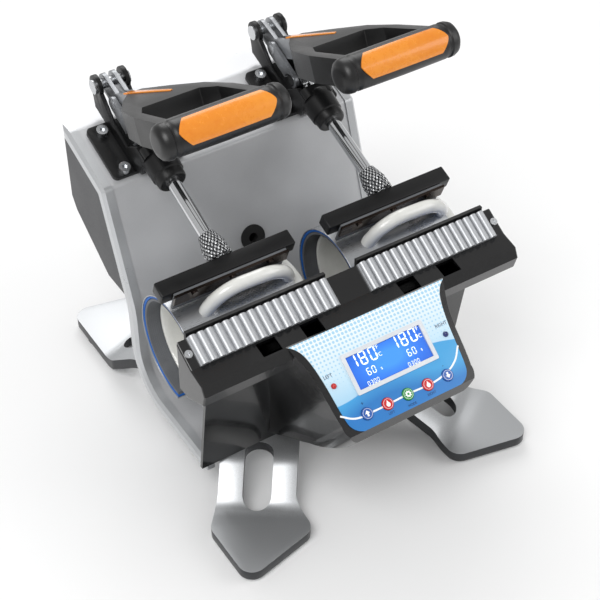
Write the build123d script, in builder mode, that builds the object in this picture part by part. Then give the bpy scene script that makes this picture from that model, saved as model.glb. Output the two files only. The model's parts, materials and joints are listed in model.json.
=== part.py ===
"""Double mug heat press, millimetres, +Z up, origin at the middle of the footprint on the table.

X runs to the machine's right, Y to its back. The two mugs lie along X, one to each side of the
middle. Every profile is drawn round the mugs' common axis, or in the sloping plane of the clamps.
"""
import math
import os

from build123d import *

os.makedirs("parts", exist_ok=True)

# Mugs and stations
station_spacing = 145.0
mug_radius = 40.0
mug_length = 98.0
mug_wall = 4.0
mug_floor = 6.0
mug_offset = 12.5
mug_axis_y = -28.5
mug_axis_z = 132.0
mug_handle_angle = 118.0
mug_handle_reach = 32.0
mug_handle_start = 13.0
mug_handle_length = 70.0
mug_handle_bar = 11.0
mug_handle_width = 12.0

# Heater mats
mat_clearance = 0.6
mat_thickness = 5.5
mat_width = 97.0
mat_flange = 2.6
mat_flange_top = 61.0
mat_start_angle = 97.0
mat_tab_low = 7.0
fit_gap = 0.3

# Sheet hood
sheet = 2.5
hood_half_width = 108.0
rim_width = 9.0
rim_height = 11.0
rim_proud = 1.0
guard_screw_side = 136.0
guard_screw_radius = 3.0
guard_screw_height = 1.8
rim_bevel = 5.0
flat_slope = 20.5
flat_length = 60.4
crease_back = 107.0
crease_up = 81.6
top_band = 26.0
throat_back = 72.0
throat_bend_down = 18.0
throat_bottom = 94.0
throat_corner = 36.0
throat_bend = 60.0
band_bend = 12.0
crease_bend = 4.0
least_bend = 0.5
head_corner = 26.0
cover_wall = 2.5
cover_low = 56.0
cover_heel_back = 168.0
cover_heel_up = 22.0
cover_toe_back = 118.0
cover_toe_up = -13.0

# Front housing
beam_half_length = 140.0
beam_front = 88.0
beam_brow_back = 84.0
beam_top_front = 45.0
beam_brow_drop = 8.0
beam_top_back = 48.3
beam_shelf = 69.0
beam_rear = 49.0
beam_rear_top = 59.5
beam_low_front = 26.0
beam_low = 14.0
beam_low_back = 62.0
apron_half_width = 121.0
apron_top = 56.0
apron_foot = 39.0
apron_wall = 3.0
panel_slope = 36.0
panel_back = 84.0
panel_up = 45.5
panel_length = 77.0
panel_tip = 69.0
panel_film = 0.6
box_margin = 5.0
box_wall = 3.0
box_lip = 19.0
box_lip_depth = 143.0
box_heel = 88.0
box_heel_back = 41.0
vent_width = 16.0
vent_depth = 3.0
vent_inner = 43.0
vent_outer = 80.0

# Panel fittings
lcd_width = 72.0
lcd_height = 32.0
lcd_frame = 3.2
lcd_top = 20.5
lcd_rise = 1.2
led_radius = 2.0
led_side = 50.0
led_down = 38.5
button_pitch = 18.0
button_radius = 4.6
button_rise = 1.6
button_stem = 4.0
button_down = 66.5
button_gap = 0.25
board_drop = 11.0
board_thickness = 1.6
board_height = 50.0
post_radius = 2.5

# Guards along the front of the mugs
guard_length = 118.0
guard_outer = 132.0
guard_plate = 1.6
rib_pitch = 6.9
rib_radius = 3.1
strip_thickness = 3.0
strip_width = 9.0

# Clamps
rod_height = 24.6
rod_radius = 5.5
rod_clearance = 0.05
base_width = 62.0
base_back = 55.0
base_plate = 4.0
base_screw_side = 20.5
base_screw_front = 9.0
base_screw_back = 47.0
screw_head_radius = 4.6
screw_head_height = 4.5
screw_radius = 2.6
socket_radius = 2.2
ear_inner = 10.0
ear_thickness = 3.5
ear_radius = 9.0
pivot_back = 76.0
toggle_length = 22.0
toggle_rise = 1.4
link_length = 33.0
pin_radius = 4.0
pin_clearance = 0.05
pin_track_clearance = 0.25
pin_track_steps = 24
lever_travel = 85.0
push_stroke = 29.875
link_back_turn = 39.42
link_inner = 6.3
link_thickness = 3.2
lever_inner = 2.4
lever_thickness = 3.4
lever_radius = 8.0
nose_front = -26.0
nose_back = 4.0
nose_half_width = 13.0
nose_half_height = 12.0
tongue_half = 5.6
tongue_height = 13.0
collar_front = -101.9
collar_length = 22.0
collar_small = 7.0
collar_large = 10.0
bar_front = -115.2
bar_depth = 13.0
bar_length = 114.7
bar_above = 4.5
bar_below = 6.5
bar_corner = 1.5
knurl_depth = 0.5
knurl_count = 24
clamp_strip_drop = 12.0
clamp_strip = 2.0
opening_angle = 85.0

# Handles
handle_rise = 45.9
neck_start = 22.0
neck_half_width = 12.0
loop_start = 78.0
loop_end = 187.0
loop_half_back = 38.0
loop_half_front = 41.0
loop_corner = 13.0
hole_half = 24.0
hole_start = 100.0
hole_end = 158.0
hole_corner = 10.0
grip_thickness = 27.0
neck_thickness = 19.0
lever_end = 60.0
lever_block_start = 15.0
strip_start = 30.0
strip_end = 70.0
strip_side = 6.0
inlay_strip = 3.0
inlay_half = 36.0
inlay_height = 21.0
inlay_depth = 1.6

# Legs
leg_thickness = 9.0
leg_pad = 3.0
foot_front_x = 137.0
foot_front_y = 135.0
foot_back_x = 118.0
foot_side = 58.0
foot_end = 70.0
foot_skew = 12.0
leg_half_width = 31.0
leg_neck = 76.0
leg_slot_width = 23.0
leg_slot_start = 66.0
leg_slot_end = 118.0
front_heading = 36.0
back_heading = 22.0
leg_end_gap = 6.0
leg_corner = 12.0
leg_rise_start = 70.0
leg_rise_run = 36.0
leg_bend = 26.0
leg_screw_inner = 26.0
leg_screw_outer = 64.0
leg_screw_back = 16.0
leg_screw_radius = 3.0
leg_screw_head = 5.5
leg_screw_height = 3.2
pad_radius = 13.0
pad_place = 36.0

# Back panel fittings
grommet_radius = 8.0
grommet_flange = 3.0
grommet_up = 3.0
grommet_bore = 4.0
inlet_width = 28.0
inlet_height = 21.0
inlet_side = 60.0
inlet_up = 78.0
switch_side = 22.0
switch_width = 20.0
switch_height = 14.0
switch_frame = 1.6
switch_depth = 9.0
switch_rise = 2.4
switch_tilt = 8.0
flange_lap = 2.5
flange_rise = 1.5
relay_width = 60.0
relay_height = 34.0
relay_depth = 24.0

slope_c = math.cos(math.radians(flat_slope))
slope_s = math.sin(math.radians(flat_slope))
panel_c = math.cos(math.radians(panel_slope))
panel_s = math.sin(math.radians(panel_slope))
stations = {"left": -station_spacing / 2, "right": station_spacing / 2}
pivot = (pivot_back, rod_height)
toggle = (pivot_back - toggle_length, rod_height + toggle_rise)
tongue_pin = (toggle[0] - link_length, rod_height)


def turned(point, centre, degrees):
    """A point of the side plane turned about another."""
    c, s = math.cos(math.radians(degrees)), math.sin(math.radians(degrees))
    across, up = point[0] - centre[0], point[1] - centre[1]
    return (centre[0] + c * across - s * up, centre[1] + s * across + c * up)


def pin_in_link(share):
    """The tongue pin's place on the resting link at a share of the stroke: lever, link and rod move evenly."""
    moved_toggle = turned(toggle, pivot, -share * lever_travel)
    moved_pin = (tongue_pin[0] + share * push_stroke, tongue_pin[1])
    back = turned(moved_pin, moved_toggle, -share * link_back_turn)
    return (toggle[0] + back[0] - moved_toggle[0], toggle[1] + back[1] - moved_toggle[1])


# The track that the tongue pin needs in each link's front eye, which is open on its lower side
pin_track = [pin_in_link(step / pin_track_steps) for step in range(pin_track_steps + 1)]
mat_inner = mug_radius + mat_clearance
mat_outer = mat_inner + mat_thickness


def yz(back, up):
    """A point given from the mugs' axis, in the side view."""
    return (mug_axis_y + back, mug_axis_z + up)


def offset_points(points, distance):
    """The same open outline, moved sideways to its left, with mitred corners."""
    moved = []
    for index, point in enumerate(points):
        before = points[max(index - 1, 0)]
        after = points[min(index + 1, len(points) - 1)]
        normals = []
        for first, second in ((before, point), (point, after)):
            length = math.dist(first, second)
            if length > 0:
                normals.append((-(second[1] - first[1]) / length, (second[0] - first[0]) / length))
        across = [sum(n[i] for n in normals) / len(normals) for i in (0, 1)]
        scale = distance / (across[0] ** 2 + across[1] ** 2)
        moved.append((point[0] + across[0] * scale, point[1] + across[1] * scale))
    return moved


band_back = crease_back + flat_length * slope_c
band_up = crease_up + flat_length * slope_s
hood_points = [
    yz(band_back + top_band, band_up),
    yz(band_back, band_up),
    yz(crease_back, crease_up),
    yz(throat_back, -throat_bend_down),
    yz(throat_back, -throat_bottom),
    yz(-apron_foot + apron_wall, -throat_bottom),
]
hood_bends = [band_bend, crease_bend, throat_bend, throat_corner]
hood_turns = (1, 1, 1, -1)
hood_back_y = hood_points[0][0]


def hood_strip(inner, outer):
    """Edges of the band between two offsets of the hood's side profile."""
    with BuildLine() as outline:
        near = FilletPolyline(*offset_points(hood_points, inner), radius=[
            max(bend - inner * side, least_bend) for bend, side in zip(hood_bends, hood_turns)])
        far = FilletPolyline(*offset_points(hood_points, outer), radius=[
            max(bend - outer * side, least_bend) for bend, side in zip(hood_bends, hood_turns)])
        Line(near @ 0, far @ 0)
        Line(near @ 1, far @ 1)
    return outline.edges()


def plan_outline(inset):
    """Plan of the hood with its two rounded back corners, for use inside a sketch."""
    half = hood_half_width + rim_width - inset
    back = hood_back_y - inset
    with Locations((0, (back + mug_axis_y - throat_bottom) / 2)):
        RectangleRounded(2 * half, back - mug_axis_y + throat_bottom, head_corner - inset)


tall = mug_axis_z + crease_up + station_spacing


def save(part, name):
    part.label = name
    export_step(part, "parts/" + name + ".step")


def side_plane(x):
    """Side view of one clamp: along the slope from the crease, and square to the slope."""
    return Plane(
        origin=(x, mug_axis_y + crease_back, mug_axis_z + crease_up),
        x_dir=(0, slope_c, slope_s), z_dir=(1, 0, 0))


def slope_plane(x, rise):
    """Plan view of one clamp on the slope, at a height square to it."""
    return Plane(
        origin=(x, mug_axis_y + crease_back - rise * slope_s, mug_axis_z + crease_up + rise * slope_c),
        x_dir=(1, 0, 0), z_dir=(0, -slope_s, slope_c))


def rod_plane(x, along):
    """Plane square to a push rod, looking up the slope from the front."""
    return Plane(
        origin=(x, mug_axis_y + crease_back + along * slope_c - rod_height * slope_s,
                mug_axis_z + crease_up + along * slope_s + rod_height * slope_c),
        x_dir=(1, 0, 0), z_dir=(0, slope_c, slope_s))


def panel_plane(rise):
    """The control panel's face: X across, Y up the slope from its top edge."""
    return Plane(
        origin=(0, mug_axis_y - panel_back - rise * panel_s, mug_axis_z + panel_up + rise * panel_c),
        x_dir=(1, 0, 0), z_dir=(0, -panel_s, panel_c))


def bar_between(first, second, radius):
    """A round-ended bar between two points, for use as a placed sketch object."""
    middle = ((first[0] + second[0]) / 2, (first[1] + second[1]) / 2)
    angle = math.degrees(math.atan2(second[1] - first[1], second[0] - first[0]))
    slot = SlotCenterToCenter(math.dist(first, second), 2 * radius, mode=Mode.PRIVATE)
    return Pos(*middle) * (Rot(0, 0, angle) * slot)


hood_floor = mug_axis_z - throat_bottom - sheet
wall_run = math.dist(hood_points[2], hood_points[3])
wall_c = (crease_up + throat_bend_down) / wall_run
wall_s = (crease_back - throat_back) / wall_run
grommet_plane = Plane(
    origin=(0, *yz(throat_back + (throat_bend_down + grommet_up) * wall_s / wall_c, grommet_up)),
    x_dir=(1, 0, 0), z_dir=(0, -wall_c, wall_s))
base_screw_places = [
    (x + side * base_screw_side, along) for x in stations.values() for side in (-1, 1)
    for along in (base_screw_front, base_screw_back)]
leg_screw_places = [
    (side * x, mug_axis_y + end * leg_screw_back) for side in (-1, 1) for end in (-1, 1)
    for x in (leg_screw_inner, leg_screw_outer)]
back_plane = Plane(origin=(0, hood_back_y, mug_axis_z), x_dir=(-1, 0, 0), z_dir=(0, 1, 0))

# Hood sheet, bent from the top band over the clamp slope and down round the mugs
with BuildPart() as hood_shell:
    with BuildSketch(Plane.YZ):
        make_face(hood_strip(0, sheet))
    extrude(amount=hood_half_width, both=True)
    with BuildSketch(Plane.XY):
        plan_outline(0)
    extrude(amount=tall, mode=Mode.INTERSECT)
    with BuildSketch(grommet_plane):
        Circle(grommet_radius)
    extrude(amount=2 * sheet, both=True, mode=Mode.SUBTRACT)
    with BuildSketch(slope_plane(0, 0)):
        with Locations(base_screw_places):
            Circle(screw_radius)
    extrude(amount=2 * sheet, both=True, mode=Mode.SUBTRACT)
    with BuildSketch(Plane.XY.offset(hood_floor)):
        with Locations(leg_screw_places):
            Circle(leg_screw_radius)
    extrude(amount=2 * sheet, both=True, mode=Mode.SUBTRACT)
save(hood_shell.part, "hood_shell")

rims = []
for name, side in (("left", -1), ("right", 1)):
    with BuildPart() as rim:
        with BuildSketch(Plane.YZ.offset(side * hood_half_width)):
            make_face(hood_strip(-rim_proud, rim_height))
        extrude(amount=side * rim_width)
        outer_face = rim.faces().sort_by(Axis.X)[-1 if side > 0 else 0]
        chamfer(outer_face.edges(), rim_bevel / 2)
        with BuildSketch(Plane.XY):
            plan_outline(0)
        extrude(amount=tall, mode=Mode.INTERSECT)
    rims.append(rim.part)
    save(rim.part, "rim_" + name)

# Back cover: a hollow head behind the slope, closed by the hood sheet and the rims
cover_points = [
    (hood_back_y, yz(0, band_up - sheet)[1]),
    (hood_back_y, yz(0, cover_low)[1]),
    yz(cover_heel_back, cover_heel_up),
    yz(cover_toe_back, cover_toe_up),
]


def head_outline(gap, wall):
    """Edges of the head's side view, kept a gap behind the hood and a wall inside the cover."""
    front = offset_points(hood_points, gap)
    back = offset_points(cover_points, -wall)
    low_front = (front[2][0] + (front[3][0] - front[2][0]) * (front[2][1] - back[3][1])
                 / (front[2][1] - front[3][1]), back[3][1])
    with BuildLine() as outline:
        Polyline((back[0][0], front[0][1]), back[1], back[2], back[3], low_front,
                 front[2], front[1], close=True)
    return outline.edges()


with BuildPart() as rear_cover:
    with BuildSketch(Plane.YZ):
        make_face(head_outline(sheet, 0))
    extrude(amount=hood_half_width, both=True)
    with BuildSketch(Plane.YZ):
        make_face(head_outline(rim_height, 0))
    extrude(amount=hood_half_width + rim_width - rim_bevel / 2, both=True)
    with BuildSketch(Plane.XY):
        plan_outline(0)
    extrude(amount=tall, mode=Mode.INTERSECT)
    with BuildSketch(Plane.YZ):
        make_face(head_outline(rim_height, cover_wall))
    extrude(amount=hood_half_width + rim_width - rim_bevel / 2 - cover_wall, both=True, mode=Mode.SUBTRACT)
    with BuildSketch(Plane.YZ):
        make_face(head_outline(0, cover_wall))
    extrude(amount=hood_half_width - cover_wall, both=True, mode=Mode.SUBTRACT)
    add([hood_shell.part, *rims], mode=Mode.SUBTRACT)
    with BuildSketch(back_plane):
        with Locations((inlet_side, inlet_up)):
            Rectangle(inlet_width, inlet_height)
        with Locations((switch_side, inlet_up)):
            Rectangle(switch_width, switch_height)
    extrude(amount=-2 * cover_wall, mode=Mode.SUBTRACT)
save(rear_cover.part, "rear_cover")


# Front housing: a beam under the guards, an apron below it and the wedge of the control box
beam_points = [
    yz(-beam_brow_back, beam_top_front), yz(-beam_front, beam_top_front - beam_brow_drop),
    yz(-beam_front + box_wall, beam_low_front), yz(-beam_low_back, beam_low),
    yz(-beam_rear, beam_low), yz(-beam_rear, beam_rear_top), yz(-beam_shelf, beam_top_back),
]
panel_end_back = panel_back + panel_length * panel_c
panel_end_up = panel_up - panel_length * panel_s
box_points = [
    yz(-panel_back, panel_up), yz(-panel_end_back, panel_end_up),
    yz(-box_lip_depth, -box_lip), yz(-box_heel_back, -box_heel), yz(-apron_top + apron_wall, beam_low),
    yz(-beam_rear - box_wall, beam_top_front - box_wall),
]
panel_sides = [(panel_tip, 0), (panel_tip - 7, -7), (panel_tip - 11, -19), (panel_tip - 14, -44)]
panel_foot = panel_tip - 16
panel_corner = 10.0


def panel_outline(margin, top):
    """Edges of the panel's shape: wide tips at the top that sweep in to straight sides."""
    with BuildLine() as outline:
        right = Spline(*[(x + margin, y + (top if not y else 0)) for x, y in panel_sides],
                       (panel_foot + margin, -panel_length + panel_corner))
        corner = RadiusArc(
            right @ 1, (panel_foot + margin - panel_corner, -panel_length - margin), panel_corner * 1.3)
        mirror(about=Plane.YZ)
        Line(right @ 0, (-(right @ 0).X, (right @ 0).Y))
        Line(corner @ 1, (-(corner @ 1).X, (corner @ 1).Y))
    return outline.edges()


def closed_inset(points, inset):
    """A closed outline with every side moved in by the inset."""
    return offset_points(points[-1:] + points + points[:1], inset)[1:-1]


def housing_body(inset):
    """The housing's solid form, with every face moved in by the inset."""
    with BuildPart() as body:
        with BuildSketch(Plane.YZ):
            Polygon(*closed_inset(box_points, inset), align=None)
        extrude(amount=beam_half_length, both=True)
        with BuildSketch(panel_plane(0)):
            make_face(panel_outline(box_margin - inset, beam_shelf / 2))
        extrude(amount=panel_length * 2, both=True, mode=Mode.INTERSECT)
        with BuildSketch(Plane.YZ):
            Polygon(*closed_inset(beam_points, inset), align=None)
        extrude(amount=beam_half_length - inset, both=True)
    return body.part


box_outer = housing_body(0)
box_cavity = housing_body(box_wall)
button_places = [(step * button_pitch, -button_down) for step in range(-2, 3)]
led_places = [(-led_side, -led_down), (led_side, -led_down)]
hatch_width = 2 * (panel_foot - panel_corner - box_wall)
hatch_start = box_lip_depth - 18.0
hatch_end = box_heel_back + 24.0
under_angle = math.degrees(math.atan2(box_heel - box_lip, box_lip_depth - box_heel_back))
under_c = math.cos(math.radians(under_angle))
under_s = math.sin(math.radians(under_angle))
under_length = math.hypot(box_heel - box_lip, box_lip_depth - box_heel_back)


def under_plane(rise):
    """The control box's sloping underside, from its middle: X across, Y up to the back, Z inwards."""
    return Plane(
        origin=(0, mug_axis_y - (box_lip_depth + box_heel_back) / 2 + rise * under_s,
                mug_axis_z - (box_lip + box_heel) / 2 + rise * under_c),
        x_dir=(1, 0, 0), z_dir=(0, under_s, under_c))


guard_run = beam_shelf - beam_rear
guard_rise = beam_rear_top - beam_top_back
guard_span = math.hypot(guard_run, guard_rise)
guard_plane = Plane(
    origin=(0, mug_axis_y - beam_rear, mug_axis_z + beam_rear_top), x_dir=(1, 0, 0),
    z_dir=(0, -guard_run / guard_span, -guard_rise / guard_span))


def guard_face(rise):
    """The beam's back slope, from its middle line: X across, Y up the slope."""
    return Plane(
        origin=(0, mug_axis_y - (beam_rear + beam_shelf) / 2 - rise * guard_rise / guard_span,
                mug_axis_z + (beam_rear_top + beam_top_back) / 2 + rise * guard_run / guard_span),
        x_dir=(1, 0, 0), z_dir=(0, -guard_rise / guard_span, guard_run / guard_span))


hatch_length = under_length * 0.6
hatch_gap = 0.3
hatch_lap = 4.0
with BuildPart() as front_housing:
    add(box_outer)
    edge_pick = front_housing.faces().sort_by(Axis.X)
    fillet(edge_pick[0].edges() + edge_pick[-1].edges(), box_wall / 2)
    with BuildSketch(Plane.YZ):
        Polygon(yz(-apron_top, beam_low + box_wall), yz(-apron_foot, -throat_bottom - sheet),
                yz(-apron_foot + apron_wall, -throat_bottom - sheet),
                yz(-apron_top + apron_wall, beam_low + box_wall), align=None)
    extrude(amount=apron_half_width, both=True)
    add(box_cavity, mode=Mode.SUBTRACT)
    with BuildSketch(panel_plane(0)):
        with Locations((0, -lcd_top - lcd_height / 2)):
            Rectangle(lcd_width - 2 * lcd_frame, lcd_height - 2 * lcd_frame)
        with Locations(button_places):
            Circle(button_radius + button_gap)
        with Locations(led_places):
            Circle(led_radius)
    extrude(amount=-box_wall * 2, mode=Mode.SUBTRACT)
    with BuildSketch(under_plane(0)):
        Rectangle(hatch_width - 2 * hatch_lap, hatch_length - 2 * hatch_lap)
    extrude(amount=box_wall * 2, mode=Mode.SUBTRACT)
    with BuildSketch(Plane.XY.offset(mug_axis_z + beam_top_back)):
        with Locations([(side * x, mug_axis_y - (beam_brow_back + beam_shelf) / 2)
                        for side in (-1, 1) for x in (vent_inner, vent_outer)]):
            Rectangle(vent_width, beam_brow_back - beam_shelf - vent_depth)
    extrude(amount=-vent_depth * 2, mode=Mode.SUBTRACT)
    with BuildSketch(guard_face(0)):
        with Locations((-guard_screw_side, 0), (guard_screw_side, 0)):
            Circle(guard_screw_radius / 2)
    extrude(amount=-2 * box_wall, mode=Mode.SUBTRACT)
save(front_housing.part, "front_housing")

with BuildPart() as housing_hatch:
    with BuildSketch(under_plane(-sheet)):
        RectangleRounded(hatch_width, hatch_length, hatch_lap)
    extrude(amount=sheet)
    with BuildSketch(under_plane(0)):
        Rectangle(hatch_width - 2 * hatch_lap - 2 * hatch_gap, hatch_length - 2 * hatch_lap - 2 * hatch_gap)
    extrude(amount=box_wall)
    with Locations(under_plane(-sheet).rotated((180, 0, 0))):
        with GridLocations(hatch_width - 2 * hatch_lap, hatch_length - 2 * hatch_lap, 2, 2):
            CounterSinkHole(screw_radius / 2, screw_radius, depth=sheet)
save(housing_hatch.part, "housing_hatch")

with BuildPart() as panel_overlay:
    with BuildSketch(panel_plane(0)):
        make_face(panel_outline(0, 0))
        with Locations((0, -lcd_top - lcd_height / 2)):
            Rectangle(lcd_width - 2 * lcd_frame, lcd_height - 2 * lcd_frame, mode=Mode.SUBTRACT)
        with Locations(button_places):
            Circle(button_radius + button_gap, mode=Mode.SUBTRACT)
        with Locations(led_places):
            Circle(led_radius + button_gap, mode=Mode.SUBTRACT)
    extrude(amount=panel_film)
save(panel_overlay.part, "panel_overlay")

with BuildPart() as lcd_bezel:
    with BuildSketch(panel_plane(panel_film)):
        with Locations((0, -lcd_top - lcd_height / 2)):
            RectangleRounded(lcd_width, lcd_height, lcd_rise)
            Rectangle(lcd_width - 2 * lcd_frame, lcd_height - 2 * lcd_frame, mode=Mode.SUBTRACT)
    extrude(amount=lcd_rise)
save(lcd_bezel.part, "lcd_bezel")

with BuildPart() as lcd_module:
    with BuildSketch(panel_plane(-box_wall)):
        with Locations((0, -lcd_top - lcd_height / 2)):
            Rectangle(lcd_width - 2 * lcd_frame - 2 * fit_gap, lcd_height - 2 * lcd_frame - 2 * fit_gap)
    extrude(amount=box_wall + panel_film)
    with BuildSketch(panel_plane(-box_wall)):
        with Locations((0, -lcd_top - lcd_height / 2)):
            Rectangle(lcd_width, lcd_height)
    extrude(amount=-box_wall)
save(lcd_module.part, "lcd_module")

with BuildPart() as indicator_leds:
    with BuildSketch(panel_plane(-board_drop)):
        with Locations(led_places):
            Circle(led_radius - fit_gap)
    extrude(amount=board_drop + panel_film)
save(indicator_leds.part, "indicator_leds")

with BuildPart() as control_board:
    with BuildSketch(panel_plane(-board_drop)):
        with Locations((0, -lcd_top - board_height / 2 + led_radius)):
            Rectangle(2 * led_side + 4 * led_radius, board_height)
    extrude(amount=-board_thickness)
    with BuildSketch(panel_plane(-board_drop)):
        with Locations((0, -lcd_top - board_height / 2 + led_radius)):
            with GridLocations(2 * led_side - 4 * led_radius, board_height - 4 * post_radius, 2, 2):
                Circle(post_radius)
    extrude(amount=board_drop - box_wall)
save(control_board.part, "control_board")

for number, (x, y) in enumerate(button_places, 1):
    with BuildPart() as button:
        with BuildSketch(panel_plane(panel_film / 3)):
            with Locations((x, y)):
                Circle(button_radius)
        extrude(amount=button_rise)
        fillet(button.edges().sort_by(Axis((0, 0, 0), panel_plane(0).z_dir))[-1], button_rise / 3)
        with BuildSketch(panel_plane(panel_film / 3)):
            with Locations((x, y)):
                Circle(button_stem / 2)
        extrude(amount=-board_drop + button_rise + fit_gap)
    save(button.part, "button_" + str(number))

# Guards: a plate with a row of half-round ribs, on the beam's back slope
rib_count = int(guard_length / rib_pitch)
for name, side in (("left", -1), ("right", 1)):
    guard_middle = side * (guard_outer - guard_length / 2)
    with BuildPart() as guard:
        with BuildSketch(guard_plane):
            with Locations((guard_middle, guard_plate / 2)):
                Rectangle(guard_length, guard_plate)
            with Locations((guard_middle, guard_plate)):
                with GridLocations(rib_pitch, 1, rib_count, 1):
                    Circle(rib_radius)
            with Locations((guard_middle, -rib_radius)):
                Rectangle(guard_length, 2 * rib_radius, mode=Mode.SUBTRACT)
        extrude(amount=guard_span)
    save(guard.part, "guard_" + name)

with BuildPart() as guard_strips:
    with BuildSketch(Plane.YZ):
        Polygon(yz(-beam_rear, mat_inner), yz(-mat_outer, mat_inner),
                yz(-mat_outer, beam_rear_top + guard_plate + rib_radius),
                yz(-beam_rear, beam_rear_top + guard_plate + rib_radius), align=None)
    extrude(amount=guard_outer, both=True)
    with BuildSketch(Plane.YZ):
        Rectangle(tall * 4, tall * 4)
    extrude(amount=guard_outer - guard_length, both=True, mode=Mode.SUBTRACT)
save(guard_strips.part, "guard_strips")

with BuildPart() as guard_screws:
    for rise, radius, amount in ((0, guard_screw_radius, guard_screw_height),
                                 (0, guard_screw_radius / 2, -2 * box_wall)):
        with BuildSketch(guard_face(rise)):
            with Locations((-guard_screw_side, 0), (guard_screw_side, 0)):
                Circle(radius)
        extrude(amount=amount)
    with BuildSketch(guard_face(guard_screw_height)):
        with Locations((-guard_screw_side, 0), (guard_screw_side, 0)):
            Rectangle(guard_screw_radius, guard_screw_height / 3)
            Rectangle(guard_screw_height / 3, guard_screw_radius)
    extrude(amount=-guard_screw_height / 2, mode=Mode.SUBTRACT)
save(guard_screws.part, "guard_screws")


def ear_outline():
    """Edges of one side cheek of a clamp, low in the middle so that the toggle pin stays in view."""
    with BuildLine() as outline:
        Polyline(
            (pivot[0] - ear_radius / 2, base_plate), (nose_back + base_plate, base_plate),
            (nose_front / 4, rod_height - nose_half_height), (nose_front / 4, rod_height + nose_half_height / 2),
            (nose_back + base_plate, rod_height + nose_half_height / 2),
            (tongue_pin[0], rod_height - tongue_height / 2 - base_plate),
            (toggle[0] - ear_radius, rod_height - tongue_height / 2 - base_plate),
            (pivot[0] - ear_radius, rod_height), pivot,
            (pivot[0] + ear_radius, rod_height), (pivot[0] - ear_radius / 2, base_plate))
    return outline.edges()


handle_c = math.cos(math.radians(handle_rise))
handle_s = math.sin(math.radians(handle_rise))


def handle_point(along):
    """A point on the handle's middle line, in the clamp's side view."""
    return (toggle[0] - along * handle_c, toggle[1] + along * handle_s)


def side_to_world(x, point):
    """A side view point of the clamp at x, in the machine's frame."""
    return (x, mug_axis_y + crease_back + point[0] * slope_c - point[1] * slope_s,
            mug_axis_z + crease_up + point[0] * slope_s + point[1] * slope_c)


inlay_points = [
    (-inlay_half, 0), (-inlay_half + inlay_height / 2, -inlay_height / 2),
    (inlay_half - inlay_height / 2, -inlay_height / 2), (inlay_half, 0),
    (inlay_half - inlay_height / 2, inlay_height / 2), (-inlay_half + inlay_height / 2, inlay_height / 2)]
mug_handle_c = math.cos(math.radians(mug_handle_angle))
mug_handle_s = math.sin(math.radians(mug_handle_angle))


def mug_handle_plane(start):
    """Plane of a mug's handle: X along the mug from its mouth, Y out from its axis."""
    return Plane(origin=(start, mug_axis_y, mug_axis_z), x_dir=(1, 0, 0),
                 z_dir=(0, -mug_handle_s, mug_handle_c))


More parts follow.
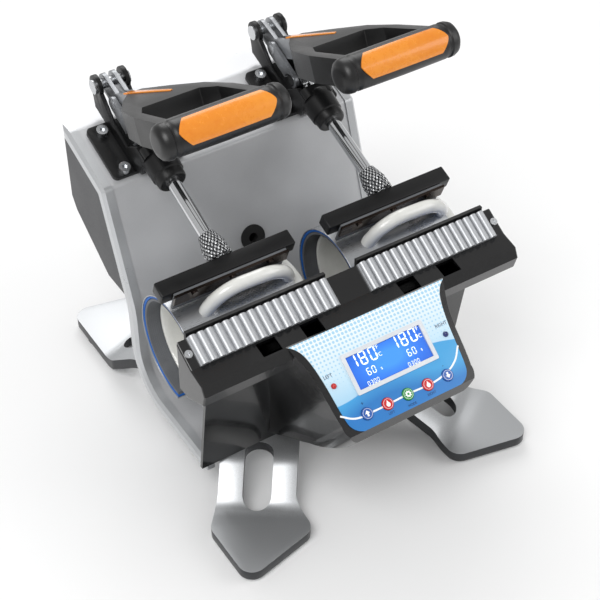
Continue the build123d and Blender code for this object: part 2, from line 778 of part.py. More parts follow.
handle_tilt = math.radians(180 - handle_rise + flat_slope)
reach_y = math.cos(handle_tilt)
reach_z = math.sin(handle_tilt)
for name, x in stations.items():
    # Clamp base: plate, two cheeks and the nose that guides the push rod
    with BuildPart() as clamp_base:
        with BuildSketch(slope_plane(x, 0)):
            with Locations((0, (crease_bend + base_back) / 2)):
                RectangleRounded(base_width, base_back - crease_bend, base_plate)
            with Locations([(side * base_screw_side, along) for side in (-1, 1)
                            for along in (base_screw_front, base_screw_back)]):
                Circle(screw_radius, mode=Mode.SUBTRACT)
        extrude(amount=base_plate)
        for side in (-1, 1):
            with BuildSketch(side_plane(x + side * ear_inner)):
                make_face(ear_outline())
                with Locations(pivot):
                    Circle(ear_radius)
                    Circle(pin_radius, mode=Mode.SUBTRACT)
            extrude(amount=side * ear_thickness)
        with BuildSketch(rod_plane(x, nose_front)):
            RectangleRounded(2 * nose_half_width, 2 * nose_half_height, nose_half_height / 2)
        extrude(amount=nose_back - nose_front)
        with BuildSketch(rod_plane(x, nose_front)):
            Circle(rod_radius + rod_clearance)
        extrude(amount=nose_back - nose_front, mode=Mode.SUBTRACT)
    save(clamp_base.part, "clamp_base_" + name)

    # Push rod with its flat tongue and the tongue pin
    with BuildPart() as rod:
        with BuildSketch(rod_plane(x, bar_front + bar_depth)):
            Circle(rod_radius)
        extrude(amount=tongue_pin[0] - bar_front - bar_depth - tongue_height / 2)
        with BuildSketch(side_plane(x)):
            add(bar_between((tongue_pin[0] - tongue_height / 2, rod_height), tongue_pin, tongue_height / 2))
        extrude(amount=tongue_half, both=True)
        with BuildSketch(side_plane(x)):
            with Locations(tongue_pin):
                Circle(pin_radius)
        extrude(amount=link_inner + link_thickness + fit_gap, both=True)
    save(rod.part, "rod_" + name)

    # Knurled collar, free to turn on the rod
    with BuildPart() as collar:
        with BuildSketch(rod_plane(x, collar_front)):
            Circle(collar_large)
            with PolarLocations(collar_large, knurl_count):
                Circle(knurl_depth, mode=Mode.SUBTRACT)
        extrude(amount=collar_length)
        with BuildSketch(side_plane(x)):
            Polygon(
                (collar_front, rod_height), (collar_front, rod_height + collar_large - knurl_depth),
                (collar_front + knurl_depth, rod_height + collar_large),
                (collar_front + collar_length / 2, rod_height + collar_large),
                (collar_front + collar_length, rod_height + collar_small),
                (collar_front + collar_length, rod_height), align=None)
        revolve(axis=Axis(side_to_world(x, (0, rod_height)), (0, slope_c, slope_s)), mode=Mode.INTERSECT)
        with BuildSketch(rod_plane(x, collar_front)):
            Circle(rod_radius + rod_clearance)
        extrude(amount=collar_length, mode=Mode.SUBTRACT)
    save(collar.part, "collar_" + name)

    # Press bar across the rod's front end, and the strip that holds the mat's upper edge to it
    with BuildPart() as press_bar:
        with BuildSketch(side_plane(x)):
            with Locations((bar_front + bar_depth / 2, rod_height + (bar_above - bar_below) / 2)):
                Rectangle(bar_depth, bar_above + bar_below)
        extrude(amount=bar_length / 2, both=True)
        chamfer(press_bar.edges().group_by(Axis.X)[0] + press_bar.edges().group_by(Axis.X)[-1], bar_corner / 2)
    save(press_bar.part, "press_bar_" + name)

    strip_front = bar_front - mat_flange - clamp_strip
    with BuildPart() as clamp_strip_piece:
        with BuildSketch(side_plane(x)):
            with Locations((strip_front + clamp_strip / 2, rod_height + bar_above - clamp_strip_drop / 2)):
                Rectangle(clamp_strip, clamp_strip_drop)
        extrude(amount=mat_width / 2, both=True)
        with BuildSketch(rod_plane(x, strip_front)):
            with Locations((0, bar_above - clamp_strip_drop / 2)):
                with GridLocations(mat_width / 3, 1, 3, 1):
                    Circle(screw_radius)
        extrude(amount=-clamp_strip * 0.8)
    save(clamp_strip_piece.part, "clamp_strip_" + name)

    with BuildPart() as mat_tab:
        with BuildSketch(side_plane(x)):
            with Locations((bar_front - mat_flange / 2, (mat_tab_low + rod_height + bar_above) / 2)):
                Rectangle(mat_flange, rod_height + bar_above - mat_tab_low)
        extrude(amount=mat_width / 2, both=True)
    save(mat_tab.part, "mat_tab_" + name)

    # Toggle links, toggle pin and lever
    with BuildPart() as link:
        for side in (-1, 1):
            with BuildSketch(side_plane(x + side * link_inner)):
                add(bar_between(toggle, tongue_pin, tongue_height / 2))
                with Locations(toggle, tongue_pin):
                    Circle(pin_radius + pin_clearance, mode=Mode.SUBTRACT)
                for start, end in zip(pin_track, pin_track[1:]):
                    add(bar_between(start, end, pin_radius + pin_track_clearance), mode=Mode.SUBTRACT)
            extrude(amount=side * link_thickness)
    save(link.part, "link_" + name)

    with BuildPart() as toggle_pin:
        with BuildSketch(side_plane(x)):
            with Locations(toggle):
                Circle(pin_radius)
        extrude(amount=link_inner + link_thickness + fit_gap, both=True)
    save(toggle_pin.part, "toggle_pin_" + name)

    with BuildPart() as lever:
        for side in (-1, 1):
            with BuildSketch(side_plane(x + side * lever_inner)):
                add(bar_between(pivot, toggle, lever_radius))
                add(bar_between(toggle, handle_point(lever_end - lever_radius), lever_radius))
            extrude(amount=side * lever_thickness)
        with BuildSketch(side_plane(x)):
            add(bar_between(
                handle_point(lever_block_start + lever_radius), handle_point(lever_end - lever_radius), lever_radius))
        extrude(amount=lever_inner, both=True)
        for point, radius in ((pivot, pin_radius + pin_clearance), (toggle, pin_radius)):
            with BuildSketch(side_plane(x)):
                with Locations(point):
                    Circle(radius)
            extrude(amount=lever_inner + lever_thickness, both=True, mode=Mode.SUBTRACT)
    save(lever.part, "lever_" + name)

    # Handle: a neck and an open loop, with a shallow six-sided inlay on its front edge
    grip_plane = Plane(origin=side_to_world(x, toggle), x_dir=(1, 0, 0), z_dir=(0, -reach_z, reach_y))
    front_plane = Plane(
        origin=side_to_world(x, handle_point(loop_end)), x_dir=(1, 0, 0), z_dir=(0, reach_y, reach_z))
    with BuildPart() as handle:
        with BuildSketch(grip_plane):
            Polygon((-loop_half_back, loop_start), (loop_half_back, loop_start),
                    (loop_half_front, loop_end), (-loop_half_front, loop_end), align=None)
            fillet(vertices(), loop_corner)
            with Locations((0, (hole_start + hole_end) / 2)):
                RectangleRounded(2 * hole_half, hole_end - hole_start, hole_corner, mode=Mode.SUBTRACT)
        extrude(amount=grip_thickness / 2, both=True)
        with BuildSketch(grip_plane):
            Polygon((-neck_half_width, neck_start), (neck_half_width, neck_start),
                    (neck_half_width + pin_clearance, loop_start + loop_corner),
                    (-neck_half_width, loop_start + loop_corner), align=None)
        extrude(amount=neck_thickness / 2, both=True)
        with BuildSketch(side_plane(x)):
            add(bar_between(toggle, handle_point(lever_end - lever_radius), lever_radius))
        extrude(amount=lever_inner + lever_thickness, both=True, mode=Mode.SUBTRACT)
        with BuildSketch(front_plane):
            Polygon(*inlay_points, align=None)
        extrude(amount=-inlay_depth, mode=Mode.SUBTRACT)
    save(handle.part, "handle_" + name)

    with BuildPart() as handle_inlay:
        with BuildSketch(front_plane.offset(-inlay_depth)):
            Polygon(*inlay_points, align=None)
        extrude(amount=inlay_depth + fit_gap)
        with BuildSketch(grip_plane.offset(-neck_thickness / 2)):
            with Locations((-strip_side, (strip_start + strip_end) / 2), (strip_side, (strip_start + strip_end) / 2)):
                Rectangle(inlay_strip, strip_end - strip_start)
        extrude(amount=-inlay_depth / 2)
    save(handle_inlay.part, "handle_inlay_" + name)

    # Heater mat: a belt from the top round the back and under the mug, with an upright front edge
    with BuildPart() as mat:
        with BuildSketch(Plane.YZ.offset(x)):
            with Locations(yz(0, 0)):
                Circle(mat_outer)
                Circle(mat_inner, mode=Mode.SUBTRACT)
            Polygon(
                yz(0, 0), yz(-mat_outer * math.tan(math.radians(mat_start_angle - 90)) * 2, mat_outer * 2),
                yz(-mat_outer * 2, mat_outer * 2), yz(-mat_outer * 2, 0), align=None, mode=Mode.SUBTRACT)
            with Locations(yz(-mat_outer + mat_flange / 2, mat_flange_top / 2 - mat_flange)):
                Rectangle(mat_flange, mat_flange_top + 2 * mat_flange)
        extrude(amount=mat_width / 2, both=True)
    save(mat.part, "mat_" + name)

    # Mug lying on its side, mouth to the machine's left
    mug_start = x + mug_offset - mug_length / 2
    with BuildPart() as mug:
        with BuildSketch(Plane.YZ.offset(mug_start)):
            with Locations(yz(0, 0)):
                Circle(mug_radius)
        extrude(amount=mug_length)
        fillet(mug.edges().sort_by(Axis.X)[-1], mug_wall)
        with BuildSketch(mug_handle_plane(mug_start)):
            with Locations(((2 * mug_handle_start + mug_handle_length) / 2, mug_radius)):
                RectangleRounded(mug_handle_length, 2 * mug_handle_reach, mug_handle_reach / 2)
                RectangleRounded(mug_handle_length - 2 * mug_handle_bar, 2 * (mug_handle_reach - mug_handle_bar),
                                 mug_handle_bar, mode=Mode.SUBTRACT)
        extrude(amount=mug_handle_width / 2, both=True)
        with BuildSketch(Plane.YZ.offset(mug_start)):
            with Locations(yz(0, 0)):
                Circle(mug_radius - mug_wall)
        extrude(amount=mug_length - mug_floor, mode=Mode.SUBTRACT)
    save(mug.part, "mug_" + name)

# Clamp screws and the fixed pivot pins
with BuildPart() as clamp_screws:
    with BuildSketch(slope_plane(0, base_plate)):
        with Locations(base_screw_places):
            Circle(screw_head_radius)
    extrude(amount=screw_head_height)
    with BuildSketch(slope_plane(0, base_plate)):
        with Locations(base_screw_places):
            Circle(screw_radius)
    extrude(amount=-base_plate - sheet)
    with BuildSketch(slope_plane(0, base_plate + screw_head_height)):
        with Locations(base_screw_places):
            RegularPolygon(socket_radius, 6)
    extrude(amount=-screw_head_height / 2, mode=Mode.SUBTRACT)
save(clamp_screws.part, "clamp_screws")

with BuildPart() as pivot_pins:
    for x in stations.values():
        with BuildSketch(side_plane(x)):
            with Locations(pivot):
                Circle(pin_radius)
        extrude(amount=ear_inner + ear_thickness, both=True)
        for side in (-1, 1):
            with BuildSketch(side_plane(x + side * (ear_inner + ear_thickness))):
                with Locations(pivot):
                    Circle(pin_radius * 1.5)
            extrude(amount=side * pin_radius / 2)
save(pivot_pins.part, "pivot_pins")

# Grommet for the heater leads, in the back wall between the stations
with BuildPart() as wire_grommet:
    with BuildSketch(grommet_plane):
        Circle(grommet_radius)
    extrude(amount=-sheet)
    for start, amount in ((0, sheet / 2), (-sheet, -sheet / 2)):
        with BuildSketch(grommet_plane.offset(start)):
            Circle(grommet_radius + grommet_flange)
        extrude(amount=amount)
    with BuildSketch(grommet_plane):
        Circle(grommet_bore)
    extrude(amount=2 * sheet, both=True, mode=Mode.SUBTRACT)
save(wire_grommet.part, "wire_grommet")


def socket_body(name, side, width, height, wall, depth):
    """A flanged frame let into the back wall, open at the back."""
    with BuildPart() as body:
        with BuildSketch(back_plane):
            with Locations((side, inlet_up)):
                RectangleRounded(width + 2 * flange_lap, height + 2 * flange_lap, flange_lap)
        extrude(amount=flange_rise)
        with BuildSketch(back_plane):
            with Locations((side, inlet_up)):
                Rectangle(width, height)
        extrude(amount=-depth)
        with BuildSketch(back_plane.offset(flange_rise)):
            with Locations((side, inlet_up)):
                Rectangle(width - 2 * wall, height - 2 * wall)
        extrude(amount=-depth, mode=Mode.SUBTRACT)
        if name == "power_inlet":
            with BuildSketch(back_plane.offset(-depth)):
                with Locations((side, inlet_up)):
                    with Locations((-wall * 2, 0), (0, wall), (wall * 2, 0)):
                        Rectangle(wall / 2, wall)
            extrude(amount=depth - wall)
    save(body.part, name)


socket_body("power_inlet", inlet_side, inlet_width, inlet_height, box_wall, 2 * switch_depth)
socket_body("switch_frame", switch_side, switch_width, switch_height, switch_frame, 2 * switch_depth)

rocker_half = switch_height / 2 - switch_frame - 2 * fit_gap
with BuildPart() as power_switch:
    with BuildSketch(Plane.YZ.offset(-switch_side)):
        Polygon(
            (hood_back_y - switch_depth, mug_axis_z + inlet_up - rocker_half / 2),
            (hood_back_y, mug_axis_z + inlet_up - rocker_half),
            (hood_back_y + flange_rise + switch_rise, mug_axis_z + inlet_up - rocker_half + fit_gap),
            (hood_back_y + flange_rise, mug_axis_z + inlet_up),
            (hood_back_y + flange_rise + switch_rise, mug_axis_z + inlet_up + rocker_half - fit_gap),
            (hood_back_y, mug_axis_z + inlet_up + rocker_half),
            (hood_back_y - switch_depth, mug_axis_z + inlet_up + rocker_half / 2), align=None)
    extrude(amount=switch_width / 2 - switch_frame - fit_gap, both=True)
save(power_switch.part, "power_switch")

with BuildPart() as relay_module:
    with BuildSketch(back_plane.offset(-cover_wall)):
        with Locations((-inlet_side, inlet_up)):
            Rectangle(relay_width, relay_height)
    extrude(amount=-relay_depth)
    with BuildSketch(back_plane.offset(-cover_wall - relay_depth)):
        with Locations((-inlet_side, inlet_up)):
            with GridLocations(relay_width / 5, relay_height * 0.6, 4, 2):
                Circle(screw_radius)
    extrude(amount=-sheet)
save(relay_module.part, "relay_module")

# Legs: bent plates from the hood's underside out to four corner feet, each with a long slot
corner_loss = leg_corner * (
    1 / math.cos(math.radians(foot_skew)) + math.tan(math.radians(foot_skew)) - 1)
foot_back_y = panel_end_back - 2 * mug_axis_y + corner_loss
leg_top = hood_floor
leg_run = foot_back_y + foot_front_y
for place, end, corner_x, corner_y, heading in (
        ("front", -1, foot_front_x, foot_front_y, front_heading),
        ("rear", 1, foot_back_x, foot_back_y, back_heading)):
    for name, side in (("left", -1), ("right", 1)):
        tip = Vector(side * corner_x, mug_axis_y + end * corner_y)
        inward = Vector(-side * math.sin(math.radians(heading)), -end * math.cos(math.radians(heading)))
        across = Vector(side * math.cos(math.radians(heading)), -end * math.sin(math.radians(heading)))
        skew = Vector(-side * math.cos(math.radians(foot_skew)), -end * math.sin(math.radians(foot_skew)))
        outer = tip + inward * leg_neck + across * leg_half_width
        inner = tip + inward * leg_neck - across * leg_half_width
        outer_run = (outer.Y - mug_axis_y - end * leg_end_gap) / -inward.Y
        inner_run = (inner.Y - mug_axis_y - end * leg_end_gap) / -inward.Y
        foot_side_point = tip + Vector(0, -end * foot_side)
        plan = [tip, foot_side_point, outer, outer + inward * outer_run,
                inner + inward * inner_run, inner, tip + skew * foot_end]
        with BuildPart() as leg:
            with BuildSketch(Plane(origin=(tip.X, tip.Y, 0), x_dir=(inward.X, inward.Y, 0),
                                   z_dir=(inward.Y, -inward.X, 0))):
                with BuildLine():
                    low = FilletPolyline(
                        (-leg_run, leg_pad), (leg_rise_start, leg_pad),
                        (leg_rise_start + leg_rise_run, leg_top - leg_thickness),
                        (leg_run, leg_top - leg_thickness), radius=leg_bend)
                    high = FilletPolyline(
                        (-leg_run, leg_pad + leg_thickness), (leg_rise_start - leg_pad, leg_pad + leg_thickness),
                        (leg_rise_start + leg_rise_run - leg_pad, leg_top),
                        (leg_run, leg_top), radius=leg_bend)
                    Line(low @ 0, high @ 0)
                    Line(low @ 1, high @ 1)
                make_face()
            extrude(amount=leg_run, both=True)
            with BuildSketch():
                Polygon(*[(point.X, point.Y) for point in plan], align=None)
                foot_corners = vertices().filter_by(
                    lambda corner: abs(corner.Y - mug_axis_y) > 2 * leg_end_gap)
                fillet(foot_corners, leg_corner)
                middle = tip + inward * (leg_slot_start + leg_slot_end) / 2
                with Locations(Location((middle.X, middle.Y, 0),
                                        (0, 0, math.degrees(math.atan2(inward.Y, inward.X))))):
                    SlotOverall(leg_slot_end - leg_slot_start, leg_slot_width, mode=Mode.SUBTRACT)
                with Locations(leg_screw_places):
                    Circle(leg_screw_radius, mode=Mode.SUBTRACT)
            extrude(amount=tall, mode=Mode.INTERSECT)
        save(leg.part, "leg_" + place + "_" + name)

with BuildPart() as leg_screws:
    with BuildSketch(Plane.XY.offset(hood_floor + sheet)):
        with Locations(leg_screw_places):
            Circle(leg_screw_head)
    extrude(amount=leg_screw_height)
    with BuildSketch(Plane.XY.offset(hood_floor + sheet)):
        with Locations(leg_screw_places):
            Circle(leg_screw_radius)
    extrude(amount=-sheet - leg_thickness)
    with BuildSketch(Plane.XY.offset(hood_floor + sheet + leg_screw_height)):
        with Locations(leg_screw_places):
            RegularPolygon(socket_radius, 6)
    extrude(amount=-leg_screw_height / 2, mode=Mode.SUBTRACT)
save(leg_screws.part, "leg_screws")

with BuildPart() as foot_pads:
    with BuildSketch():
        with Locations([
                (side * (corner_x - pad_place * math.sin(math.radians(heading))),
                 mug_axis_y + end * (corner_y - pad_place * math.cos(math.radians(heading))))
                for side in (-1, 1) for end, corner_x, corner_y, heading in (
                    (-1, foot_front_x, foot_front_y, front_heading),
                    (1, foot_back_x, foot_back_y, back_heading))]):
            Circle(pad_radius)
    extrude(amount=leg_pad)
save(foot_pads.part, "foot_pads")
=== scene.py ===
"""Double mug heat press: looks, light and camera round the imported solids. Metres, +Z up."""
import json
import math

import bpy
from mathutils import Matrix, Vector

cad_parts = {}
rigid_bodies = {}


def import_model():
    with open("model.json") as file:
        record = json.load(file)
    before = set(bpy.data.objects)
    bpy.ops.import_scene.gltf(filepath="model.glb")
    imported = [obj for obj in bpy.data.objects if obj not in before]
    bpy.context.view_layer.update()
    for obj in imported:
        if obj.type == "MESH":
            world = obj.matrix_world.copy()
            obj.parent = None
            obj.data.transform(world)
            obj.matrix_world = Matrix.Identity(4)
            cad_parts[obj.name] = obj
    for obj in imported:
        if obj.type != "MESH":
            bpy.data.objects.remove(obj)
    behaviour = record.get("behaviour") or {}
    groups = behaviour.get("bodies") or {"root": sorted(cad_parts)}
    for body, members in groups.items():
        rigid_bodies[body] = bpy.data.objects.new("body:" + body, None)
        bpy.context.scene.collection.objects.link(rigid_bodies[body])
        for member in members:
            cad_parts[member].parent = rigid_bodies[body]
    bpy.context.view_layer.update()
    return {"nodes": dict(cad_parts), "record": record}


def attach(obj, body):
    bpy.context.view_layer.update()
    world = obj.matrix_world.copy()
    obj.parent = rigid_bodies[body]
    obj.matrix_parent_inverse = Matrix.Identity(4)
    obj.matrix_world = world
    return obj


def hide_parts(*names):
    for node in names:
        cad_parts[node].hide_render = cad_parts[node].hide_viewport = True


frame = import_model()
nodes = frame["nodes"]
MM = 0.001

# Places on the machine, the same as in the solids
MUG_AXIS = Vector((0, -28.5 * MM, 132 * MM))
STATIONS = {"left": -72.5 * MM, "right": 72.5 * MM}
MUG_LENGTH = 98
MUG_SHIFT = 12.5
ROD_RISE = 24.6
PANEL_SLOPE = math.radians(36)
PANEL_TOP = MUG_AXIS + Vector((0, -84 * MM, 45.5 * MM))
SLOPE = math.radians(20.5)
CREASE = MUG_AXIS + Vector((0, 107 * MM, 81.6 * MM))


def clamp_point(x, along, rise):
    """A point of a clamp, from its place up the slope and square to it, in millimetres."""
    return Vector((
        x, CREASE.y + (along * math.cos(SLOPE) - rise * math.sin(SLOPE)) * MM,
        CREASE.z + (along * math.sin(SLOPE) + rise * math.cos(SLOPE)) * MM))


def panel_matrix(across, up, rise):
    """Places a flat piece on the control panel: across, up from its top edge, and off it, in millimetres."""
    spot = PANEL_TOP + Vector((
        across * MM, (up * math.cos(PANEL_SLOPE) - rise * math.sin(PANEL_SLOPE)) * MM,
        (up * math.sin(PANEL_SLOPE) + rise * math.cos(PANEL_SLOPE)) * MM))
    return Matrix.Translation(spot) @ Matrix.Rotation(PANEL_SLOPE, 4, "X")


# ---------- finishes ----------
def linear(code):
    """An sRGB hex colour as the linear colour that the shaders take."""
    channels = [int(code[i:i + 2], 16) / 255 for i in (0, 2, 4)]
    return [c / 12.92 if c <= 0.04045 else ((c + 0.055) / 1.055) ** 2.4 for c in channels] + [1]


def put(tree, kind, settings=None, links=None):
    """Adds one node, with its settings and what feeds its sockets."""
    made = tree.nodes.new(kind)
    for key, value in (settings or {}).items():
        if isinstance(key, str) and hasattr(made, key):
            setattr(made, key, value)
        else:
            made.inputs[key].default_value = value
    for key, source in (links or {}).items():
        tree.links.new(source, made.inputs[key])
    return made


def blank(name):
    material = bpy.data.materials.new(name)
    material.use_nodes = True
    tree = material.node_tree
    tree.nodes.clear()
    return material, tree


def blend_stops(tree, source, stops):
    """A colour ramp through (place, hex) stops."""
    ramp = put(tree, "ShaderNodeValToRGB", links={"Fac": source})
    elements = ramp.color_ramp.elements
    while len(elements) < len(stops):
        elements.new(0.5)
    for element, (place, code) in zip(elements, stops):
        element.position = place
        element.color = linear(code)
    return ramp


def surface(name, low, high, grain, relief, rough, metal=0.0, stretch=(1, 1, 1), coat=0.0,
            smudge=0.08, ior=1.5):
    """A finish with two close colours in its grain (mm), a fine relief (mm) and faint handling smudges."""
    material, tree = blank(name)
    place = put(tree, "ShaderNodeTexCoord").outputs["Object"]
    spread = put(tree, "ShaderNodeMapping", {"Scale": stretch}, {"Vector": place}).outputs["Vector"]
    fine = put(tree, "ShaderNodeTexNoise", {"Scale": 1 / (grain * MM), "Detail": 4.0, "Roughness": 0.6},
               {"Vector": spread}).outputs["Fac"]
    cloud = put(tree, "ShaderNodeTexNoise", {"Scale": 28.0, "Detail": 3.0}, {"Vector": place}).outputs["Fac"]
    both = put(tree, "ShaderNodeMath", {"operation": "MULTIPLY_ADD", 1: 0.5}, {0: fine}).outputs[0]
    tree.links.new(put(tree, "ShaderNodeMath", {"operation": "MULTIPLY", 1: 0.5}, {0: cloud}).outputs[0],
                   both.node.inputs[2])
    colour = blend_stops(tree, both, [(0.3, low), (0.7, high)])
    sheen = put(tree, "ShaderNodeMapRange", {"From Min": 0.3, "From Max": 0.7,
                "To Min": max(rough - smudge, 0.02), "To Max": rough + smudge}, {"Value": both})
    bump = put(tree, "ShaderNodeBump", {"Strength": 0.35, "Distance": relief * MM}, {"Height": fine})
    shader = put(tree, "ShaderNodeBsdfPrincipled", {"Metallic": metal, "Coat Weight": coat},
                 {"Base Color": colour.outputs["Color"], "Roughness": sheen.outputs["Result"],
                  "Normal": bump.outputs["Normal"]})
    if not metal:
        shader.inputs["IOR"].default_value = ior
    put(tree, "ShaderNodeOutputMaterial", links={"Surface": shader.outputs["BSDF"]})
    return material


# Silver stoving enamel over bent steel sheet: a fine metallic flake, satin
silver_enamel = surface("silver_stoving_enamel", "C6C7C9", "D1D2D4", 0.5, 0.01, 0.42, 0.4)
# The same enamel on the thick bevelled rims, a little brighter where it is rubbed
rim_enamel = surface("bright_rim_enamel", "C0C2C4", "CED0D2", 0.5, 0.01, 0.34, 0.6)
# Painted shade: the back cover is coloured dark grey, standing in for the silver sheet in shade, with a fine
# orange-peel relief
painted_shade_cover = surface("dark_grey_cover_painted_shade", "2B2C2F", "36373A", 1.2, 0.05, 0.42)
# Black gloss ABS of the front housing: moulded, smooth, with faint handling marks
housing_abs = surface("black_gloss_abs", "060607", "0B0B0C", 3.0, 0.004, 0.2, 0, coat=0.25, ior=1.53)
# Black oxide steel: clamp bases and cheeks
black_steel = surface("black_oxide_steel", "0B0B0C", "161617", 0.8, 0.02, 0.38, 0.3)
# Bare pressed steel: toggle levers and links, drawn along their length
link_steel = surface("grey_pressed_steel", "8A8C8F", "A4A6A9", 0.4, 0.02, 0.34, 0.85, (1, 0.15, 0.15))
# Zinc plated screws and pins
zinc_steel = surface("zinc_plated_steel", "B9BBBE", "D2D4D6", 0.6, 0.01, 0.28, 1.0)
# Hard chrome on the push rods: almost a mirror
hard_chrome = surface("hard_chrome", "D5D7D9", "E3E4E6", 2.0, 0.002, 0.08, 1.0, smudge=0.03)
# Black anodised aluminium of the press bars and strips
black_anodised = surface("black_anodised_aluminium", "0D0D0E", "19191A", 0.35, 0.015, 0.4, 0.35, (0.05, 1, 1))
# Glass-filled nylon of the grips: satin with a fine moulded spark texture
grip_nylon = surface("black_glass_filled_nylon", "070708", "0D0D0E", 0.7, 0.04, 0.40, 0, ior=1.53)
# Orange gloss ABS inlays
orange_abs = surface("orange_gloss_abs", "E07F12", "EC9426", 4.0, 0.004, 0.26, 0, coat=0.4, ior=1.53)
# White glazed stoneware mugs: a smooth clear glaze over a pale body
glazed_stoneware = surface("white_glazed_stoneware", "DDDDD8", "E8E8E4", 6.0, 0.01, 0.14, 0, coat=0.5)
# Bent steel strip under the press bars, browned by heat
browned_steel = surface("heat_browned_steel", "2C2522", "453A34", 1.5, 0.01, 0.22, 0.9, (0.06, 1, 1))
# Thin bright steel jacket round the heater belts
belt_steel = surface("bright_rolled_steel", "A7A9AC", "BDBFC1", 0.5, 0.01, 0.30, 0.9, (0.1, 1, 1))
# Black rubber: feet, grommet
black_rubber = surface("black_rubber", "0E0E0E", "1B1B1B", 0.8, 0.05, 0.7, 0)
# Black gloss polycarbonate: mains inlet, switch and its frame
black_polycarbonate = surface("black_polycarbonate", "080808", "101010", 1.5, 0.01, 0.22, 0, ior=1.58)
# Relay housing, blue moulded PBT
relay_case = surface("blue_relay_case", "1B3F86", "234C99", 1.0, 0.02, 0.4)
# Green circuit board laminate
board_laminate = surface("green_board_laminate", "0E4A25", "15602F", 1.0, 0.02, 0.35)
# White gloss bezel and the lenses and buttons on the panel
bezel_abs = surface("pale_gloss_bezel", "D4D9DF", "E2E6EA", 3.0, 0.004, 0.24, 0, coat=0.3)
lens_red = surface("red_lens", "B01414", "D02222", 2.0, 0.002, 0.15, 0, coat=0.5)
lens_blue = surface("dark_blue_lens", "121B52", "1B2870", 2.0, 0.002, 0.15, 0, coat=0.5)
button_blue = surface("blue_button_cap", "1D4E9E", "2B62B5", 2.0, 0.004, 0.25, 0, coat=0.4)
button_red = surface("red_button_cap", "C4171D", "D8282D", 2.0, 0.004, 0.25, 0, coat=0.4)
button_green = surface("green_button_cap", "1F8A35", "2FA145", 2.0, 0.004, 0.25, 0, coat=0.4)
print_white = surface("white_print", "F2F5F8", "FFFFFF", 2.0, 0.002, 0.4)
print_navy = surface("navy_print", "10254F", "1A3364", 2.0, 0.002, 0.4)
segment_white = surface("lit_segments", "E8F6FF", "FFFFFF", 2.0, 0.002, 0.4)
segment_shader = next(n for n in segment_white.node_tree.nodes if n.type == "BSDF_PRINCIPLED")
segment_shader.inputs["Emission Color"].default_value = linear("E8F6FF")
segment_shader.inputs["Emission Strength"].default_value = 0.5


def leg_enamel_with_painted_shade():
    """Silver enamel on the broad faces, with painted shade on the legs' thick side faces: faces whose normals
    lie near level are coloured dark grey as if in shade.
    """
    material, tree = blank("leg_silver_enamel_shaded_sides")
    place = put(tree, "ShaderNodeTexCoord")
    fine = put(tree, "ShaderNodeTexNoise", {"Scale": 1 / (0.6 * MM), "Detail": 3.0},
               {"Vector": place.outputs["Object"]}).outputs["Fac"]
    facing = put(tree, "ShaderNodeSeparateXYZ", links={"Vector": place.outputs["Normal"]}).outputs["Z"]
    upright = put(tree, "ShaderNodeMath", {"operation": "ABSOLUTE"}, {0: facing}).outputs[0]
    # Painted shade mask: 0 on faces whose normals lie near level (the thick side faces), 1 on the broad faces
    side = put(tree, "ShaderNodeMapRange", {"From Min": 0.25, "From Max": 0.6}, {"Value": upright})
    broad = blend_stops(tree, fine, [(0.35, "B3B5B7"), (0.65, "C2C4C6")])
    # Painted shade: dark grey for the side faces, where the silver would lie in shade
    edge = blend_stops(tree, fine, [(0.35, "3A3B3D"), (0.65, "48494B")])
    colour = put(tree, "ShaderNodeMix", {"data_type": "RGBA"}, {0: side.outputs["Result"]})
    tree.links.new(edge.outputs["Color"], colour.inputs[6])
    tree.links.new(broad.outputs["Color"], colour.inputs[7])
    rough = put(tree, "ShaderNodeMapRange", {"To Min": 0.3, "To Max": 0.42}, {"Value": fine})
    bump = put(tree, "ShaderNodeBump", {"Strength": 0.3, "Distance": 0.02 * MM}, {"Height": fine})
    shader = put(tree, "ShaderNodeBsdfPrincipled", {"Metallic": 0.7},
                 {"Base Color": colour.outputs[2], "Roughness": rough.outputs["Result"],
                  "Normal": bump.outputs["Normal"]})
    put(tree, "ShaderNodeOutputMaterial", links={"Surface": shader.outputs["BSDF"]})
    return material


def wrapped(tree, centre, tilt, around, along, radius):
    """Coordinates that follow a round surface: along its axis, and round it at its radius (mm)."""
    place = put(tree, "ShaderNodeTexCoord").outputs["Object"]
    local = put(tree, "ShaderNodeMapping",
                {"vector_type": "TEXTURE", "Location": centre, "Rotation": (tilt, 0, 0)},
                {"Vector": place}).outputs["Vector"]
    parts = put(tree, "ShaderNodeSeparateXYZ", links={"Vector": local})
    turn = put(tree, "ShaderNodeMath", {"operation": "ARCTAN2"},
               {0: parts.outputs[around[1]], 1: parts.outputs[around[0]]}).outputs[0]
    arc = put(tree, "ShaderNodeMath", {"operation": "MULTIPLY", 1: radius * MM}, {0: turn}).outputs[0]
    return put(tree, "ShaderNodeCombineXYZ", links={"X": parts.outputs[along], "Y": arc}).outputs["Vector"]


def silicone_finish(name, dark, light, pitch):
    """Silicone rubber with the weave of its glass cloth pressed into it, at the cloth's own pitch."""
    material, tree = blank(name)
    place = wrapped(tree, MUG_AXIS, 0, ("Y", "Z"), "X", 43)
    waves = [put(tree, "ShaderNodeTexWave", {"bands_direction": direction, "Scale": 0.314 / (pitch * MM)},
                 {"Vector": place}).outputs["Fac"] for direction in ("X", "Y")]
    weave = put(tree, "ShaderNodeMath", {"operation": "MAXIMUM"}, {0: waves[0], 1: waves[1]}).outputs[0]
    cloud = put(tree, "ShaderNodeTexNoise", {"Scale": 30.0, "Detail": 4.0}, {"Vector": place}).outputs["Fac"]
    colour = blend_stops(tree, cloud, [(0.35, dark), (0.65, light)])
    rough = put(tree, "ShaderNodeMapRange", {"To Min": 0.5, "To Max": 0.68}, {"Value": weave})
    bump = put(tree, "ShaderNodeBump", {"Strength": 0.4, "Distance": 0.12 * MM}, {"Height": weave})
    shader = put(tree, "ShaderNodeBsdfPrincipled", {"IOR": 1.43},
                 {"Base Color": colour.outputs["Color"], "Roughness": rough.outputs["Result"],
                  "Normal": bump.outputs["Normal"]})
    put(tree, "ShaderNodeOutputMaterial", links={"Surface": shader.outputs["BSDF"]})
    return material


